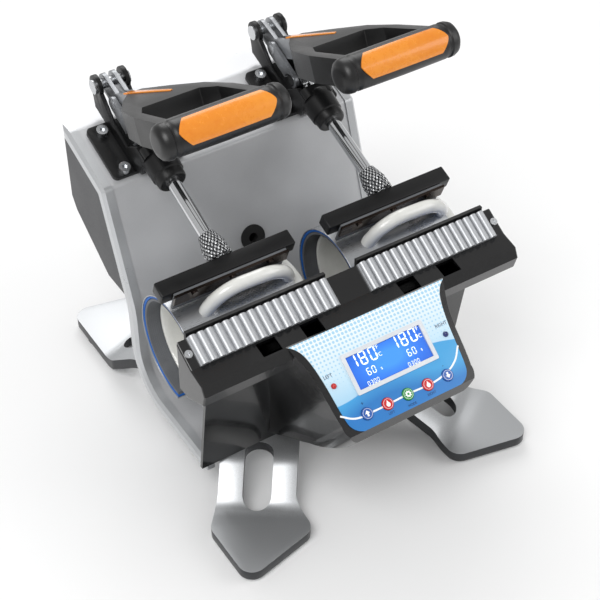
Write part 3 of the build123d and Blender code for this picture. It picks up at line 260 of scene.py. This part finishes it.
def knurl_finish(side):
    """Chromed steel with a crossed diamond knurl round the collar, its grooves painted dark as shade; 2.6 mm
    pitch so that it shows.
    """
    material, tree = blank("knurled_chrome_" + side)
    place = wrapped(tree, clamp_point(STATIONS[side], 0, ROD_RISE), SLOPE, ("X", "Z"), "Y", 9.5)
    waves = []
    for turn in (35, -35):
        turned = put(tree, "ShaderNodeMapping", {"Rotation": (0, 0, math.radians(turn))}, {"Vector": place})
        waves.append(put(tree, "ShaderNodeTexWave", {"Scale": 0.314 / (2.6 * MM), "bands_direction": "Y"},
                         {"Vector": turned.outputs["Vector"]}).outputs["Fac"])
    crossed = put(tree, "ShaderNodeMath", {"operation": "MULTIPLY"}, {0: waves[0], 1: waves[1]}).outputs[0]
    # Painted shade: the knurl's grooves are coloured dark grey and its crests bright chrome
    colour = blend_stops(tree, crossed, [(0.08, "3A3B3D"), (0.3, "C9CBCD"), (0.6, "E6E7E8")])
    rough = put(tree, "ShaderNodeMapRange", {"To Min": 0.4, "To Max": 0.2}, {"Value": crossed})
    bump = put(tree, "ShaderNodeBump", {"Strength": 0.8, "Distance": 0.7 * MM}, {"Height": crossed})
    shader = put(tree, "ShaderNodeBsdfPrincipled", {"Metallic": 1.0},
                 {"Base Color": colour.outputs["Color"], "Roughness": rough.outputs["Result"],
                  "Normal": bump.outputs["Normal"]})
    put(tree, "ShaderNodeOutputMaterial", links={"Surface": shader.outputs["BSDF"]})
    return material


def panel_print_finish():
    """Printed polyester film: white above with a fading screen of dots, two blue waves below."""
    material, tree = blank("printed_polyester_film")
    place = put(tree, "ShaderNodeTexCoord").outputs["Object"]
    flat = put(tree, "ShaderNodeMapping", {"vector_type": "TEXTURE", "Location": PANEL_TOP,
               "Rotation": (PANEL_SLOPE, 0, 0)}, {"Vector": place}).outputs["Vector"]
    parts = put(tree, "ShaderNodeSeparateXYZ", links={"Vector": flat})
    across, up = parts.outputs["X"], parts.outputs["Y"]

    def wave_edge(height, swing, length, shift, soft):
        """0 above and 1 below a wavy line: its height, swing and length in mm."""
        turn = put(tree, "ShaderNodeMath",
                   {"operation": "MULTIPLY_ADD", 1: 2 * math.pi / (length * MM), 2: shift},
                   {0: across}).outputs[0]
        line = put(tree, "ShaderNodeMath", {"operation": "SINE"}, {0: turn}).outputs[0]
        level = put(tree, "ShaderNodeMath", {"operation": "MULTIPLY_ADD", 1: swing * MM, 2: height * MM},
                    {0: line}).outputs[0]
        below = put(tree, "ShaderNodeMath", {"operation": "SUBTRACT"}, {0: level, 1: up}).outputs[0]
        return put(tree, "ShaderNodeMapRange", {"From Min": 0.0, "From Max": soft * MM}, {"Value": below})

    def mixed(share, under, over):
        made = put(tree, "ShaderNodeMix", {"data_type": "RGBA"}, {0: share})
        for socket, value in ((6, under), (7, over)):
            if isinstance(value, str):
                made.inputs[socket].default_value = linear(value)
            else:
                tree.links.new(value, made.inputs[socket])
        return made.outputs[2]

    dots = put(tree, "ShaderNodeTexVoronoi", {"Scale": 1 / (3.2 * MM), "Randomness": 0.0},
               {"Vector": flat}).outputs["Distance"]
    fade = put(tree, "ShaderNodeMapRange",
               {"From Min": -0.075, "From Max": 0.004, "To Min": 0.0, "To Max": 0.46},
               {"Value": up}).outputs["Result"]
    dotted = put(tree, "ShaderNodeMath", {"operation": "LESS_THAN"}, {0: dots, 1: fade}).outputs[0]
    ground = blend_stops(tree, put(tree, "ShaderNodeMapRange", {"From Min": -0.08, "From Max": 0.0},
                                   {"Value": up}).outputs["Result"],
                         [(0.0, "5FB4E4"), (0.55, "C9E6F6"), (1.0, "F4F8FB")]).outputs["Color"]
    shade = mixed(dotted, ground, "A9D6EF")
    shade = mixed(wave_edge(-46, 7, 150, 0.6, 0.5).outputs["Result"], shade, "3FA3DE")
    shade = mixed(wave_edge(-54, 6, 130, 2.4, 12).outputs["Result"], shade, "1A78C4")
    film = put(tree, "ShaderNodeTexNoise", {"Scale": 1500.0}, {"Vector": place}).outputs["Fac"]
    bump = put(tree, "ShaderNodeBump", {"Strength": 0.2, "Distance": 0.01 * MM}, {"Height": film})
    shader = put(tree, "ShaderNodeBsdfPrincipled", {"Roughness": 0.3, "IOR": 1.57, "Coat Weight": 0.2},
                 {"Base Color": shade, "Normal": bump.outputs["Normal"]})
    put(tree, "ShaderNodeOutputMaterial", links={"Surface": shader.outputs["BSDF"]})
    return material


def display_finish():
    """Backlit blue liquid crystal behind glass: brighter in the middle."""
    material, tree = blank("backlit_display_glass")
    place = put(tree, "ShaderNodeTexCoord").outputs["Object"]
    flat = put(tree, "ShaderNodeMapping", {"vector_type": "TEXTURE",
               "Location": PANEL_TOP + Vector((0, -36.5 * math.cos(PANEL_SLOPE) * MM,
                                               -36.5 * math.sin(PANEL_SLOPE) * MM)),
               "Rotation": (PANEL_SLOPE, 0, 0)}, {"Vector": place}).outputs["Vector"]
    spread = put(tree, "ShaderNodeMapping", {"Scale": (20, 40, 20)}, {"Vector": flat}).outputs["Vector"]
    glow = put(tree, "ShaderNodeTexGradient", {"gradient_type": "QUADRATIC_SPHERE"},
               {"Vector": spread}).outputs["Fac"]
    colour = blend_stops(tree, glow, [(0.0, "1F5CC8"), (0.6, "3E8CF0")])
    shader = put(tree, "ShaderNodeBsdfPrincipled",
                 {"Roughness": 0.12, "IOR": 1.52, "Coat Weight": 0.3, "Emission Strength": 0.35},
                 {"Base Color": colour.outputs["Color"], "Emission Color": colour.outputs["Color"]})
    put(tree, "ShaderNodeOutputMaterial", links={"Surface": shader.outputs["BSDF"]})
    return material


leg_enamel = leg_enamel_with_painted_shade()
# Clear anodised aluminium of the guards: satin, lightly brushed down the ribs
ribbed_metal = surface("clear_anodised_ribs", "B2B4B7", "C4C6C9", 0.35, 0.03, 0.42, 0.6, (1, 0.08, 0.08))
blue_silicone = silicone_finish("blue_silicone_rubber", "1B5AA8", "2468BC", 1.6)
grey_silicone = silicone_finish("grey_silicone_rubber", "56585B", "67696D", 1.6)
panel_print = panel_print_finish()
display_glass = display_finish()
knurls = {side: knurl_finish(side) for side in STATIONS}

FINISHES = {
    "hood_shell": silver_enamel, "rim_left": rim_enamel, "rim_right": rim_enamel, "rear_cover": painted_shade_cover,
    "front_housing": housing_abs, "housing_hatch": housing_abs, "panel_overlay": panel_print,
    "lcd_bezel": bezel_abs, "lcd_module": display_glass, "indicator_leds": lens_red,
    "control_board": board_laminate, "guard_left": ribbed_metal, "guard_right": ribbed_metal,
    "guard_strips": black_anodised, "guard_screws": zinc_steel, "clamp_screws": zinc_steel,
    "pivot_pins": zinc_steel, "wire_grommet": black_rubber, "power_inlet": black_polycarbonate,
    "switch_frame": black_polycarbonate, "power_switch": button_red, "relay_module": relay_case,
    "leg_screws": zinc_steel, "foot_pads": black_rubber, "button_1": button_blue, "button_2": button_red,
    "button_3": button_green, "button_4": button_red, "button_5": button_blue,
}
for side in STATIONS:
    FINISHES.update({
        "clamp_base_" + side: black_steel, "lever_" + side: link_steel, "link_" + side: link_steel,
        "toggle_pin_" + side: zinc_steel, "handle_" + side: grip_nylon, "handle_inlay_" + side: orange_abs,
        "rod_" + side: hard_chrome, "collar_" + side: knurls[side], "press_bar_" + side: black_anodised,
        "clamp_strip_" + side: browned_steel, "mat_" + side: blue_silicone, "mat_tab_" + side: blue_silicone,
        "mug_" + side: glazed_stoneware, "leg_front_" + side: leg_enamel, "leg_rear_" + side: leg_enamel,
    })
for name, finish in FINISHES.items():
    nodes[name].data.materials.clear()
    nodes[name].data.materials.append(finish)


# ---------- modelling ------------------
def pick(*objects):
    """Selects these objects only, the last one active."""
    for other in bpy.context.view_layer.objects:
        other.select_set(False)
    for item in objects:
        item.select_set(True)
        bpy.context.view_layer.objects.active = item


def select_faces(piece, test):
    """Goes into edit mode with only the faces selected that pass the test."""
    pick(piece)
    bpy.ops.object.mode_set(mode="EDIT")
    bpy.ops.mesh.select_all(action="DESELECT")
    bpy.ops.mesh.select_mode(type="FACE")
    bpy.ops.object.mode_set(mode="OBJECT")
    for face in piece.data.polygons:
        face.select = test(face)
    bpy.ops.object.mode_set(mode="EDIT")


def apply_modifier(piece, kind, **settings):
    modifier = piece.modifiers.new(kind.lower(), kind)
    for key, value in settings.items():
        setattr(modifier, key, value)
    pick(piece)
    bpy.ops.object.modifier_apply(modifier=modifier.name)


def settle(piece, name, finish, body, matrix=None, smooth=40):
    """Names a finished piece, puts its place into its mesh, smooths it and lets it ride."""
    pick(piece)
    if matrix is not None:
        piece.matrix_world = matrix @ piece.matrix_world
    bpy.ops.object.transform_apply(location=True, rotation=True, scale=True)
    bpy.ops.object.shade_smooth_by_angle(angle=math.radians(smooth))
    piece.name = name
    piece.data.name = name
    piece.data.materials.clear()
    piece.data.materials.append(finish)
    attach(piece, body)
    return piece


def turned_piece(rings, axis, segments=72):
    """A turned form along X: rings of (place, radius) in mm round the axis, closed at both ends."""
    start, radius = rings[0]
    pick()
    bpy.ops.mesh.primitive_circle_add(
        vertices=segments, radius=radius * MM, fill_type="NGON",
        location=(start * MM, axis.y, axis.z), rotation=(0, math.pi / 2, 0))
    piece = bpy.context.object
    bpy.ops.object.transform_apply(location=True, rotation=True, scale=True)
    bpy.ops.object.mode_set(mode="EDIT")
    bpy.ops.mesh.select_all(action="SELECT")
    for place, wide in rings[1:]:
        bpy.ops.mesh.extrude_region_move(TRANSFORM_OT_translate={"value": ((place - start) * MM, 0, 0)})
        share = wide / radius
        bpy.ops.transform.resize(value=(1, share, share), center_override=(place * MM, axis.y, axis.z))
        start, radius = place, wide
    bpy.ops.mesh.select_all(action="SELECT")
    bpy.ops.mesh.normals_make_consistent(inside=False)
    bpy.ops.object.mode_set(mode="OBJECT")
    return piece


def softened(node, width, segments=3, angle=30):
    """A copy of a solid with its sharp edges rounded, in place of it."""
    piece = nodes[node].copy()
    piece.data = nodes[node].data.copy()
    for key in list(piece.keys()):
        del piece[key]
    piece.parent = None
    bpy.context.scene.collection.objects.link(piece)
    pick(piece)
    bpy.ops.object.mode_set(mode="EDIT")
    bpy.ops.mesh.select_all(action="SELECT")
    bpy.ops.mesh.remove_doubles(threshold=0.00001)
    bpy.ops.mesh.dissolve_limited(angle_limit=math.radians(1))
    bpy.ops.object.mode_set(mode="OBJECT")
    apply_modifier(piece, "BEVEL", width=width * MM, segments=segments, limit_method="ANGLE",
                   angle_limit=math.radians(angle), harden_normals=False)
    return piece


def body_of(node):
    return next(body for body, members in frame["record"]["behaviour"]["bodies"].items() if node in members)


for node, width in (
        [("leg_front_" + s, 1.4) for s in STATIONS] + [("leg_rear_" + s, 1.4) for s in STATIONS]
        + [("press_bar_" + s, 0.7) for s in STATIONS] + [("lever_" + s, 0.5) for s in STATIONS]):
    rounded = softened(node, width)
    settle(rounded, node + "_rounded", FINISHES[node], body_of(node), smooth=35)
    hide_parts(node)


# ---------- mugs ----------
def bar_along(path, radius, matrix, flat=1.0):
    """A round bar along a smooth path of (across, out, side) points in mm, placed by the matrix."""
    pick()
    bpy.ops.curve.primitive_bezier_curve_add()
    bar = bpy.context.object
    line = bar.data.splines[0]
    line.bezier_points.add(len(path) - 2)
    for knot, place in zip(line.bezier_points, path):
        knot.handle_left_type = knot.handle_right_type = "AUTO"
        knot.co = Vector(place) * MM
    bar.data.dimensions = "3D"
    bar.data.bevel_depth = radius * MM
    bar.data.bevel_resolution = 6
    bar.data.resolution_u = 16
    bar.data.use_fill_caps = True
    bpy.ops.object.convert(target="MESH")
    bar = bpy.context.object
    bar.matrix_world = matrix @ Matrix.Diagonal((1, 1, flat, 1))
    bpy.ops.object.transform_apply(location=True, rotation=True, scale=True)
    return bar


# How far round the mug its handle stands, from level at the back over the top
MUG_HANDLE_TILT = math.radians(110)


def mug(side):
    """A thrown mug on its side: foot ring, straight wall, rolled lip, and a strap handle."""
    mouth = STATIONS[side] / MM + MUG_SHIFT - MUG_LENGTH / 2
    wall = [(97, 29), (98, 31), (98, 34), (97.4, 36.5), (95.5, 38.8), (92.5, 39.8), (88, 40), (4, 40),
            (1.6, 39.9), (0.4, 39.2), (0, 38), (0.3, 36.8), (1.6, 36.1), (6, 36), (88, 36), (90.6, 35),
            (92, 32), (92, 26)]
    cup = turned_piece([(mouth + place, radius) for place, radius in wall], MUG_AXIS)
    angle = MUG_HANDLE_TILT
    outward = Vector((0, math.cos(angle), math.sin(angle)))
    along = Vector((1, 0, 0))
    turn = Matrix((along, outward, along.cross(outward))).transposed().to_4x4()
    route = [(12, 36.9, 0), (13.2, 49, 0), (25, 63, 0), (49, 66, 0), (72, 60, 0), (83, 46, 0), (84, 36.9, 0)]
    strap = bar_along(route, 5.8, Matrix.Translation((mouth * MM, MUG_AXIS.y, MUG_AXIS.z)) @ turn, 0.95)
    pick(strap, cup)
    bpy.ops.object.join()
    whole = bpy.context.object
    settle(whole, "stoneware_mug_" + side, glazed_stoneware, "mug_" + side)
    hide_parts("mug_" + side)


# ---------- heater belts ----------
BELT_WRAP = math.radians(277)
TAB_PLACE = (-116.5, 18)


def belt_layer(side, name, low, high, half, finish, rise):
    """One layer of a belt, between two radii and of half a width: spun from the front under the mug and
    over its back, and raised in front as a flange (mm)."""
    x = STATIONS[side]
    pick()
    bpy.ops.mesh.primitive_plane_add(size=1, location=(x, MUG_AXIS.y - (low + high) / 2 * MM, MUG_AXIS.z))
    layer = bpy.context.object
    layer.scale = (2 * half * MM, (high - low) * MM, 1)
    bpy.ops.object.transform_apply(location=True, rotation=True, scale=True)
    bpy.ops.object.mode_set(mode="EDIT")
    bpy.ops.mesh.select_all(action="SELECT")
    bpy.ops.mesh.bevel(offset=min(0.9, (high - low) * 0.4) * MM, segments=3, affect="VERTICES")
    bpy.ops.mesh.select_all(action="SELECT")
    bpy.ops.mesh.spin(steps=84, angle=BELT_WRAP, center=(x, MUG_AXIS.y, MUG_AXIS.z), axis=(1, 0, 0))
    bpy.ops.object.mode_set(mode="OBJECT")
    select_faces(layer, lambda face: abs(face.center.z - MUG_AXIS.z) < 0.01 * MM
                 and face.center.y < MUG_AXIS.y and len(face.vertices) > 4)
    bpy.ops.mesh.extrude_region_move(TRANSFORM_OT_translate={"value": (0, 0, rise * MM)})
    bpy.ops.mesh.select_mode(type="VERT")
    bpy.ops.mesh.select_all(action="SELECT")
    bpy.ops.mesh.normals_make_consistent(inside=False)
    bpy.ops.object.mode_set(mode="OBJECT")
    return settle(layer, name + side, finish, "machine")


for side in STATIONS:
    mug(side)
    jacket = belt_layer(side, "belt_jacket_", 45.3, 46.1, 48.5, belt_steel, 60.5)
    belt_layer(side, "heater_belt_", 43.2, 45.3, 48.0, blue_silicone, 58)
    belt_layer(side, "heater_liner_", 40.6, 43.2, 47.6, grey_silicone, 6)
    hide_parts("mat_" + side)
    pick()
    bpy.ops.mesh.primitive_cube_add(size=1)
    tab = bpy.context.object
    tab.scale = (96 * MM, 2.4 * MM, 21 * MM)
    bpy.ops.object.transform_apply(location=True, rotation=True, scale=True)
    apply_modifier(tab, "BEVEL", width=0.8 * MM, segments=3)
    middle = clamp_point(STATIONS[side], *TAB_PLACE)
    settle(tab, "belt_tab_" + side, grey_silicone, "plunger_" + side,
           Matrix.Translation(middle) @ Matrix.Rotation(SLOPE, 4, "X"))
    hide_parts("mat_tab_" + side)


# ---------- grips ----------
# The toggle pin's place on the clamp, and how steeply the resting handle rises from the slope, forwards
TOGGLE = (54.0, 26.0)
REACH = math.radians(45.9)


def grip_matrix(side):
    """Local X across, local Y out along the handle from the toggle pin, local Z to its underside."""
    tilt = math.pi - REACH + SLOPE
    out = Vector((0, math.cos(tilt), math.sin(tilt)))
    across = Vector((1, 0, 0))
    turn = Matrix((across, out, across.cross(out))).transposed().to_4x4()
    return Matrix.Translation(clamp_point(STATIONS[side], *TOGGLE)) @ turn


def flat_plate(outline, thickness, hole=None, soft=2.0):
    """A plate drawn as an outline with an optional hole, given its thickness and rounded edges (mm)."""
    pick()
    bpy.ops.mesh.primitive_circle_add(vertices=len(outline), radius=1, fill_type="NOTHING")
    plate = bpy.context.object
    for corner, (across, along) in zip(plate.data.vertices, outline):
        corner.co = (across * MM, along * MM, -thickness / 2 * MM)
    if hole:
        bpy.ops.mesh.primitive_circle_add(vertices=len(hole), radius=1, fill_type="NOTHING")
        inner = bpy.context.object
        for corner, (across, along) in zip(inner.data.vertices, hole):
            corner.co = (across * MM, along * MM, -thickness / 2 * MM)
        pick(inner, plate)
        bpy.ops.object.join()
        plate = bpy.context.object
    bpy.ops.object.mode_set(mode="EDIT")
    bpy.ops.mesh.select_all(action="SELECT")
    if hole:
        bpy.ops.mesh.bridge_edge_loops()
    else:
        bpy.ops.mesh.edge_face_add()
    bpy.ops.mesh.select_all(action="SELECT")
    bpy.ops.mesh.extrude_region_move(TRANSFORM_OT_translate={"value": (0, 0, thickness * MM)})
    bpy.ops.mesh.select_all(action="SELECT")
    bpy.ops.mesh.normals_make_consistent(inside=False)
    bpy.ops.object.mode_set(mode="OBJECT")
    apply_modifier(plate, "BEVEL", width=soft * MM, segments=4, limit_method="ANGLE",
                   angle_limit=math.radians(35))
    return plate


def rounded_outline(corners, radius, steps=5):
    """The outline's corners rounded, as a list of points in mm."""
    made = []
    for index, corner in enumerate(corners):
        spot = Vector(corner)
        ways = [(Vector(corners[index - 1]) - spot).normalized(),
                (Vector(corners[(index + 1) % len(corners)]) - spot).normalized()]
        half = ways[0].angle(ways[1]) / 2
        back = radius / math.tan(half)
        centre = spot + (ways[0] + ways[1]).normalized() * radius / math.sin(half)
        first, last = spot + ways[0] * back - centre, spot + ways[1] * back - centre
        for step in range(steps + 1):
            made.append(tuple(centre + first.slerp(last, step / steps) if first.angle(last) < 3 else spot))
    return made


GRIP_BAR = 173
INLAY_LEAN = 0.74
INLAY_HALF = 37.5


def barrel_patch():
    """The barrel-shaped patch of the grip that faces out and up: a grid laid round the bar."""
    pick()
    bpy.ops.mesh.primitive_grid_add(x_subdivisions=60, y_subdivisions=30, size=2)
    patch = bpy.context.object
    for knot in patch.data.vertices:
        lean = knot.co.y * INLAY_LEAN
        way = lean - 0.35
        half = INLAY_HALF - 11 * abs(lean) ** 1.4
        radius = (13.95 + 0.25 * (1 - knot.co.x ** 2)) * MM
        knot.co = (knot.co.x * half * MM, GRIP_BAR * MM + radius * math.cos(way), radius * math.sin(way))
    apply_modifier(patch, "SOLIDIFY", thickness=1.2 * MM, offset=0)
    pick(patch)
    bpy.ops.object.mode_set(mode="EDIT")
    bpy.ops.mesh.select_all(action="SELECT")
    bpy.ops.mesh.normals_make_consistent(inside=False)
    bpy.ops.object.mode_set(mode="OBJECT")
    return patch


GRIP_THICK = 21
GRIP_OUTLINE = [(-12, 24), (12, 24), (14, 56), (40, 80), (46, 118), (47, 170), (-47, 170), (-46, 118),
                (-40, 80), (-14, 56)]
# The front bar of the grip: half its profile, from end cap over shoulder groove to the other end
BARREL_RINGS = [
    (-50.5, 6), (-50, 9.5), (-48, 12), (-45, 13.2), (-42, 13.4), (-41, 12.4), (-39, 12.4), (-38, 13.2),
    (-36, 13.2), (-20, 13.4), (0, 13.5), (20, 13.4), (36, 13.2), (38, 13.2), (39, 12.4), (41, 12.4),
    (42, 13.4), (45, 13.2), (48, 12), (50, 9.5), (50.5, 6)]
GRIP_HOLE = [(-26, 92), (26, 92), (35, 112), (36, 161), (-36, 161), (-35, 112)]
for side in STATIONS:
    matrix = grip_matrix(side)
    frame_plate = flat_plate(rounded_outline(GRIP_OUTLINE, 7), GRIP_THICK,
                             rounded_outline(GRIP_HOLE, 5, 9), 3.0)
    settle(frame_plate, "grip_frame_" + side, grip_nylon, "lever_" + side, matrix, 50)
    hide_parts("handle_" + side)
    barrel = turned_piece(BARREL_RINGS, Vector((0, GRIP_BAR * MM, 0)), 48)
    settle(barrel, "grip_barrel_" + side, grip_nylon, "lever_" + side, matrix, 40)
    sleeve = barrel_patch()
    settle(sleeve, "grip_inlay_" + side, orange_abs, "lever_" + side, matrix, 50)
    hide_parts("handle_inlay_" + side)
    wedge = flat_plate([(-9, 28), (-2, 28), (13, 72), (10, 74)], 1.4, None, 0.5)
    settle(wedge, "neck_inlay_" + side, orange_abs, "lever_" + side,
           matrix @ Matrix.Translation((0, 0, -10.6 * MM)))

# ---------- clamp bases with a round nose ----------
NOSE_CUT = -5
NOSE_RINGS = [(-28, 6.2), (-28.4, 8), (-28, 10.6), (-26.6, 11.6), (-21, 11.9), (-20, 13), (-8, 13.6),
              (-2, 13.6), (0, 12), (0, 6.2)]
for side in STATIONS:
    base = softened("clamp_base_" + side, 0.7)
    pick(base)
    way = Vector((0, math.cos(SLOPE), math.sin(SLOPE)))
    bpy.ops.object.mode_set(mode="EDIT")
    bpy.ops.mesh.select_all(action="SELECT")
    bpy.ops.mesh.bisect(plane_co=clamp_point(STATIONS[side], NOSE_CUT, ROD_RISE), plane_no=way,
                        clear_inner=True, use_fill=True)
    bpy.ops.object.mode_set(mode="OBJECT")
    settle(base, "clamp_cheeks_" + side, black_steel, "machine", smooth=35)
    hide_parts("clamp_base_" + side)
    nose = turned_piece(NOSE_RINGS, Vector((0, 0, 0)), 48)
    turn = Matrix((way, Vector((-1, 0, 0)), way.cross(Vector((-1, 0, 0))))).transposed().to_4x4()
    settle(nose, "clamp_nose_" + side, black_steel, "machine",
           Matrix.Translation(clamp_point(STATIONS[side], 0, ROD_RISE)) @ turn)


# ---------- what the panel shows ----------
FILM_RISE = 0.65
GLASS_RISE = 0.75
BUTTON_LINE = -66.5
BUTTON_PITCH = 18


def lettering(word, name, across, up, size, finish, rise=FILM_RISE):
    """A printed word or sign on the panel, its middle at a place in mm."""
    pick()
    bpy.ops.object.text_add()
    text = bpy.context.object
    text.data.body = word
    text.data.size = size * MM
    text.data.extrude = 0.04 * MM
    text.data.align_x = "CENTER"
    text.data.align_y = "CENTER"
    bpy.ops.object.convert(target="MESH")
    return settle(bpy.context.object, name, finish, "machine", panel_matrix(across, up, rise))


SEGMENTS = {"0": "abcdef", "1": "bc", "3": "abcdg", "6": "acdefg", "8": "abcdefg"}
PLACES = {"a": (0, 2, 0), "b": (1, 1, 1), "c": (1, -1, 1), "d": (0, -2, 0), "e": (-1, -1, 1), "f": (-1, 1, 1),
          "g": (0, 0, 0)}


def display_number(digits, height):
    """Seven-bar digits of a given height, as thin bars with pointed ends."""
    bars = []
    unit = height / 4
    for index, digit in enumerate(digits):
        for bar in SEGMENTS[digit]:
            side_step, rise_step, upright = PLACES[bar]
            pick()
            bpy.ops.mesh.primitive_cylinder_add(vertices=6, radius=0.5, depth=0.08 * MM)
            stroke = bpy.context.object
            stroke.scale = (unit * 2.0 * MM, unit * 0.62 * MM, 1)
            stroke.rotation_euler = (0, 0, math.pi / 2 if upright else 0)
            stroke.location = ((index * unit * 3.6 + side_step * unit) * MM, rise_step * unit * MM, 0)
            bpy.ops.object.transform_apply(location=True, rotation=True, scale=True)
            bars.append(stroke)
    pick(*bars)
    bpy.ops.object.join()
    return bpy.context.object


for number, (digits, across, up, height) in enumerate((
        ("180", -28, -28.5, 9.5), ("180", 8, -28.5, 9.5), ("60", -20, -39.5, 5), ("60", 16, -39.5, 5),
        ("0300", -24, -47.5, 3), ("0300", 12, -47.5, 3)), 1):
    settle(display_number(digits, height), "display_number_%d" % number, segment_white, "machine",
           panel_matrix(across, up, GLASS_RISE))
for index, (word, across, up, size) in enumerate((
        ("\u00b0F", -6.5, -25.5, 4.2), ("\u00b0C", -6.5, -31.5, 4.2), ("\u00b0F", 29.5, -25.5, 4.2),
        ("\u00b0C", 29.5, -31.5, 4.2), ("s", -9.5, -41.0, 4), ("s", 26.5, -41.0, 4))):
    lettering(word, "display_sign_%d" % index, across, up, size, segment_white, GLASS_RISE)
for index, (word, across, up, size) in enumerate((
        ("LEFT", -51, -30.5, 3.6), ("RIGHT", 50, -30.5, 3.6), ("+", -36, -58.5, 4.5),
        ("LEFT", -18, -73.6, 2.6),
        ("MODE", 0, -74.6, 2.6), ("RIGHT", 18, -73.6, 2.6), ("-", 36, -58.5, 4.5))):
    lettering(word, "panel_word_%d" % index, across, up, size, print_navy)


def button_sign(kind):
    """A white sign on a button: a toothed wheel, a drop, or an arrow."""
    if kind == "wheel":
        turns = [(math.cos(step * math.pi / 16), math.sin(step * math.pi / 16)) for step in range(32)]
        teeth = [2.7 if step % 4 < 2 else 2.0 for step in range(32)]
        return flat_plate([(reach * c, reach * s) for reach, (c, s) in zip(teeth, turns)], 0.1,
                          [(0.9 * c, 0.9 * s) for c, s in turns], 0.01)
    if kind == "drop":
        return flat_plate([(0, 2.8), (-0.7, 1.2), (-1.6, 0), (-1.7, -1), (-1, -2), (0, -2.4), (1, -2),
                           (1.7, -1), (1.6, 0), (0.7, 1.2)], 0.1, None, 0.01)
    return flat_plate([(0, 2.4), (-2.1, 0), (-0.8, 0), (-0.8, -2.2), (0.8, -2.2), (0.8, 0), (2.1, 0)],
                      0.1, None, 0.01)


for number, kind in enumerate(("arrow", "drop", "wheel", "drop", "arrow"), 1):
    sign = button_sign(kind)
    if number == 5:
        sign.rotation_euler = (0, 0, math.pi)
        bpy.ops.object.transform_apply(location=True, rotation=True, scale=True)
    settle(sign, "button_sign_%d" % number, print_white, "button_%d" % number,
           panel_matrix((number - 3) * BUTTON_PITCH, BUTTON_LINE, 1.86))
for number in range(1, 6):
    circle = [(3.6 * math.cos(turn * math.pi / 8) + (number - 3) * BUTTON_PITCH,
               3.6 * math.sin(turn * math.pi / 8) + BUTTON_LINE, 0) for turn in range(17)]
    ring = bar_along(circle, 0.12, panel_matrix(0, 0, 1.85))
    settle(ring, "button_ring_%d" % number, print_white, "button_%d" % number)
sweep = [(-56, -60, 0), (-46, -66, 0), (-30, -67, 0), (0, BUTTON_LINE, 0), (30, -66, 0), (46, -60, 0),
         (55, -50, 0)]
line = bar_along(sweep, 0.7, panel_matrix(0, 0, 0.6), 0.12)
settle(line, "panel_line", print_white, "machine")

# The lamps' domed lenses, over the solid's own: dark blue on the right, red on the left
for side, across, finish in (("right", 50, lens_blue), ("left", -50, lens_red)):
    pick()
    bpy.ops.mesh.primitive_uv_sphere_add(segments=24, ring_count=12, radius=2.2 * MM)
    lens = bpy.context.object
    lens.scale = (1, 1, 0.5)
    settle(lens, side + "_lamp_lens", finish, "machine", panel_matrix(across, -38.5, 0.6))


# ---------- light, floor and camera ----------
pick()
bpy.ops.mesh.primitive_plane_add(size=12, location=(0, 0, 0))
floor = bpy.context.object
floor.name = "studio_floor"
floor_material, tree = blank("pale_studio_floor")
matt = put(tree, "ShaderNodeBsdfPrincipled", {"Base Color": linear("F4F4F4"), "Roughness": 0.9})
put(tree, "ShaderNodeOutputMaterial", links={"Surface": matt.outputs["BSDF"]})
floor.data.materials.append(floor_material)

world = bpy.data.worlds.new("studio")
bpy.context.scene.world = world
world.use_nodes = True
tree = world.node_tree
tree.nodes.clear()
ray = put(tree, "ShaderNodeLightPath")
seen = put(tree, "ShaderNodeMath", {"operation": "MAXIMUM"},
           {0: ray.outputs["Is Camera Ray"], 1: ray.outputs["Is Transmission Ray"]})
sky = put(tree, "ShaderNodeMapRange", {"To Min": 0.55, "To Max": 1.0}, {"Value": seen.outputs[0]})
dome = put(tree, "ShaderNodeBackground", {"Color": (1, 1, 1, 1)}, {"Strength": sky.outputs["Result"]})
put(tree, "ShaderNodeOutputWorld", links={"Surface": dome.outputs["Background"]})

for name, place, size, power in (
        ("key_panel", (-0.9, -0.5, 1.5), 0.9, 14), ("back_panel", (0.4, 1.2, 1.3), 1.2, 12),
        ("fill_panel", (1.2, -0.8, 0.9), 1.0, 6)):
    lamp = bpy.data.lights.new(name, "AREA")
    lamp.size = size
    lamp.energy = power
    holder = bpy.data.objects.new(name, lamp)
    bpy.context.scene.collection.objects.link(holder)
    holder.location = place
    holder.rotation_euler = (Vector((0, 0, 0.15)) - Vector(place)).to_track_quat("-Z", "Y").to_euler()

# The camera that was fitted to the photograph
eye = bpy.data.cameras.new("photo_camera")
eye.lens = 86.6
eye.sensor_width = 36
eye.clip_start = 0.05
camera = bpy.data.objects.new("photo_camera", eye)
bpy.context.scene.collection.objects.link(camera)
camera.location = (-0.4608, -0.7390, 0.8990)
camera.rotation_euler = (math.radians(90 - 42.4), 0, math.radians(-32.7))
bpy.context.scene.camera = camera
bpy.context.scene.view_settings.view_transform = "Standard"
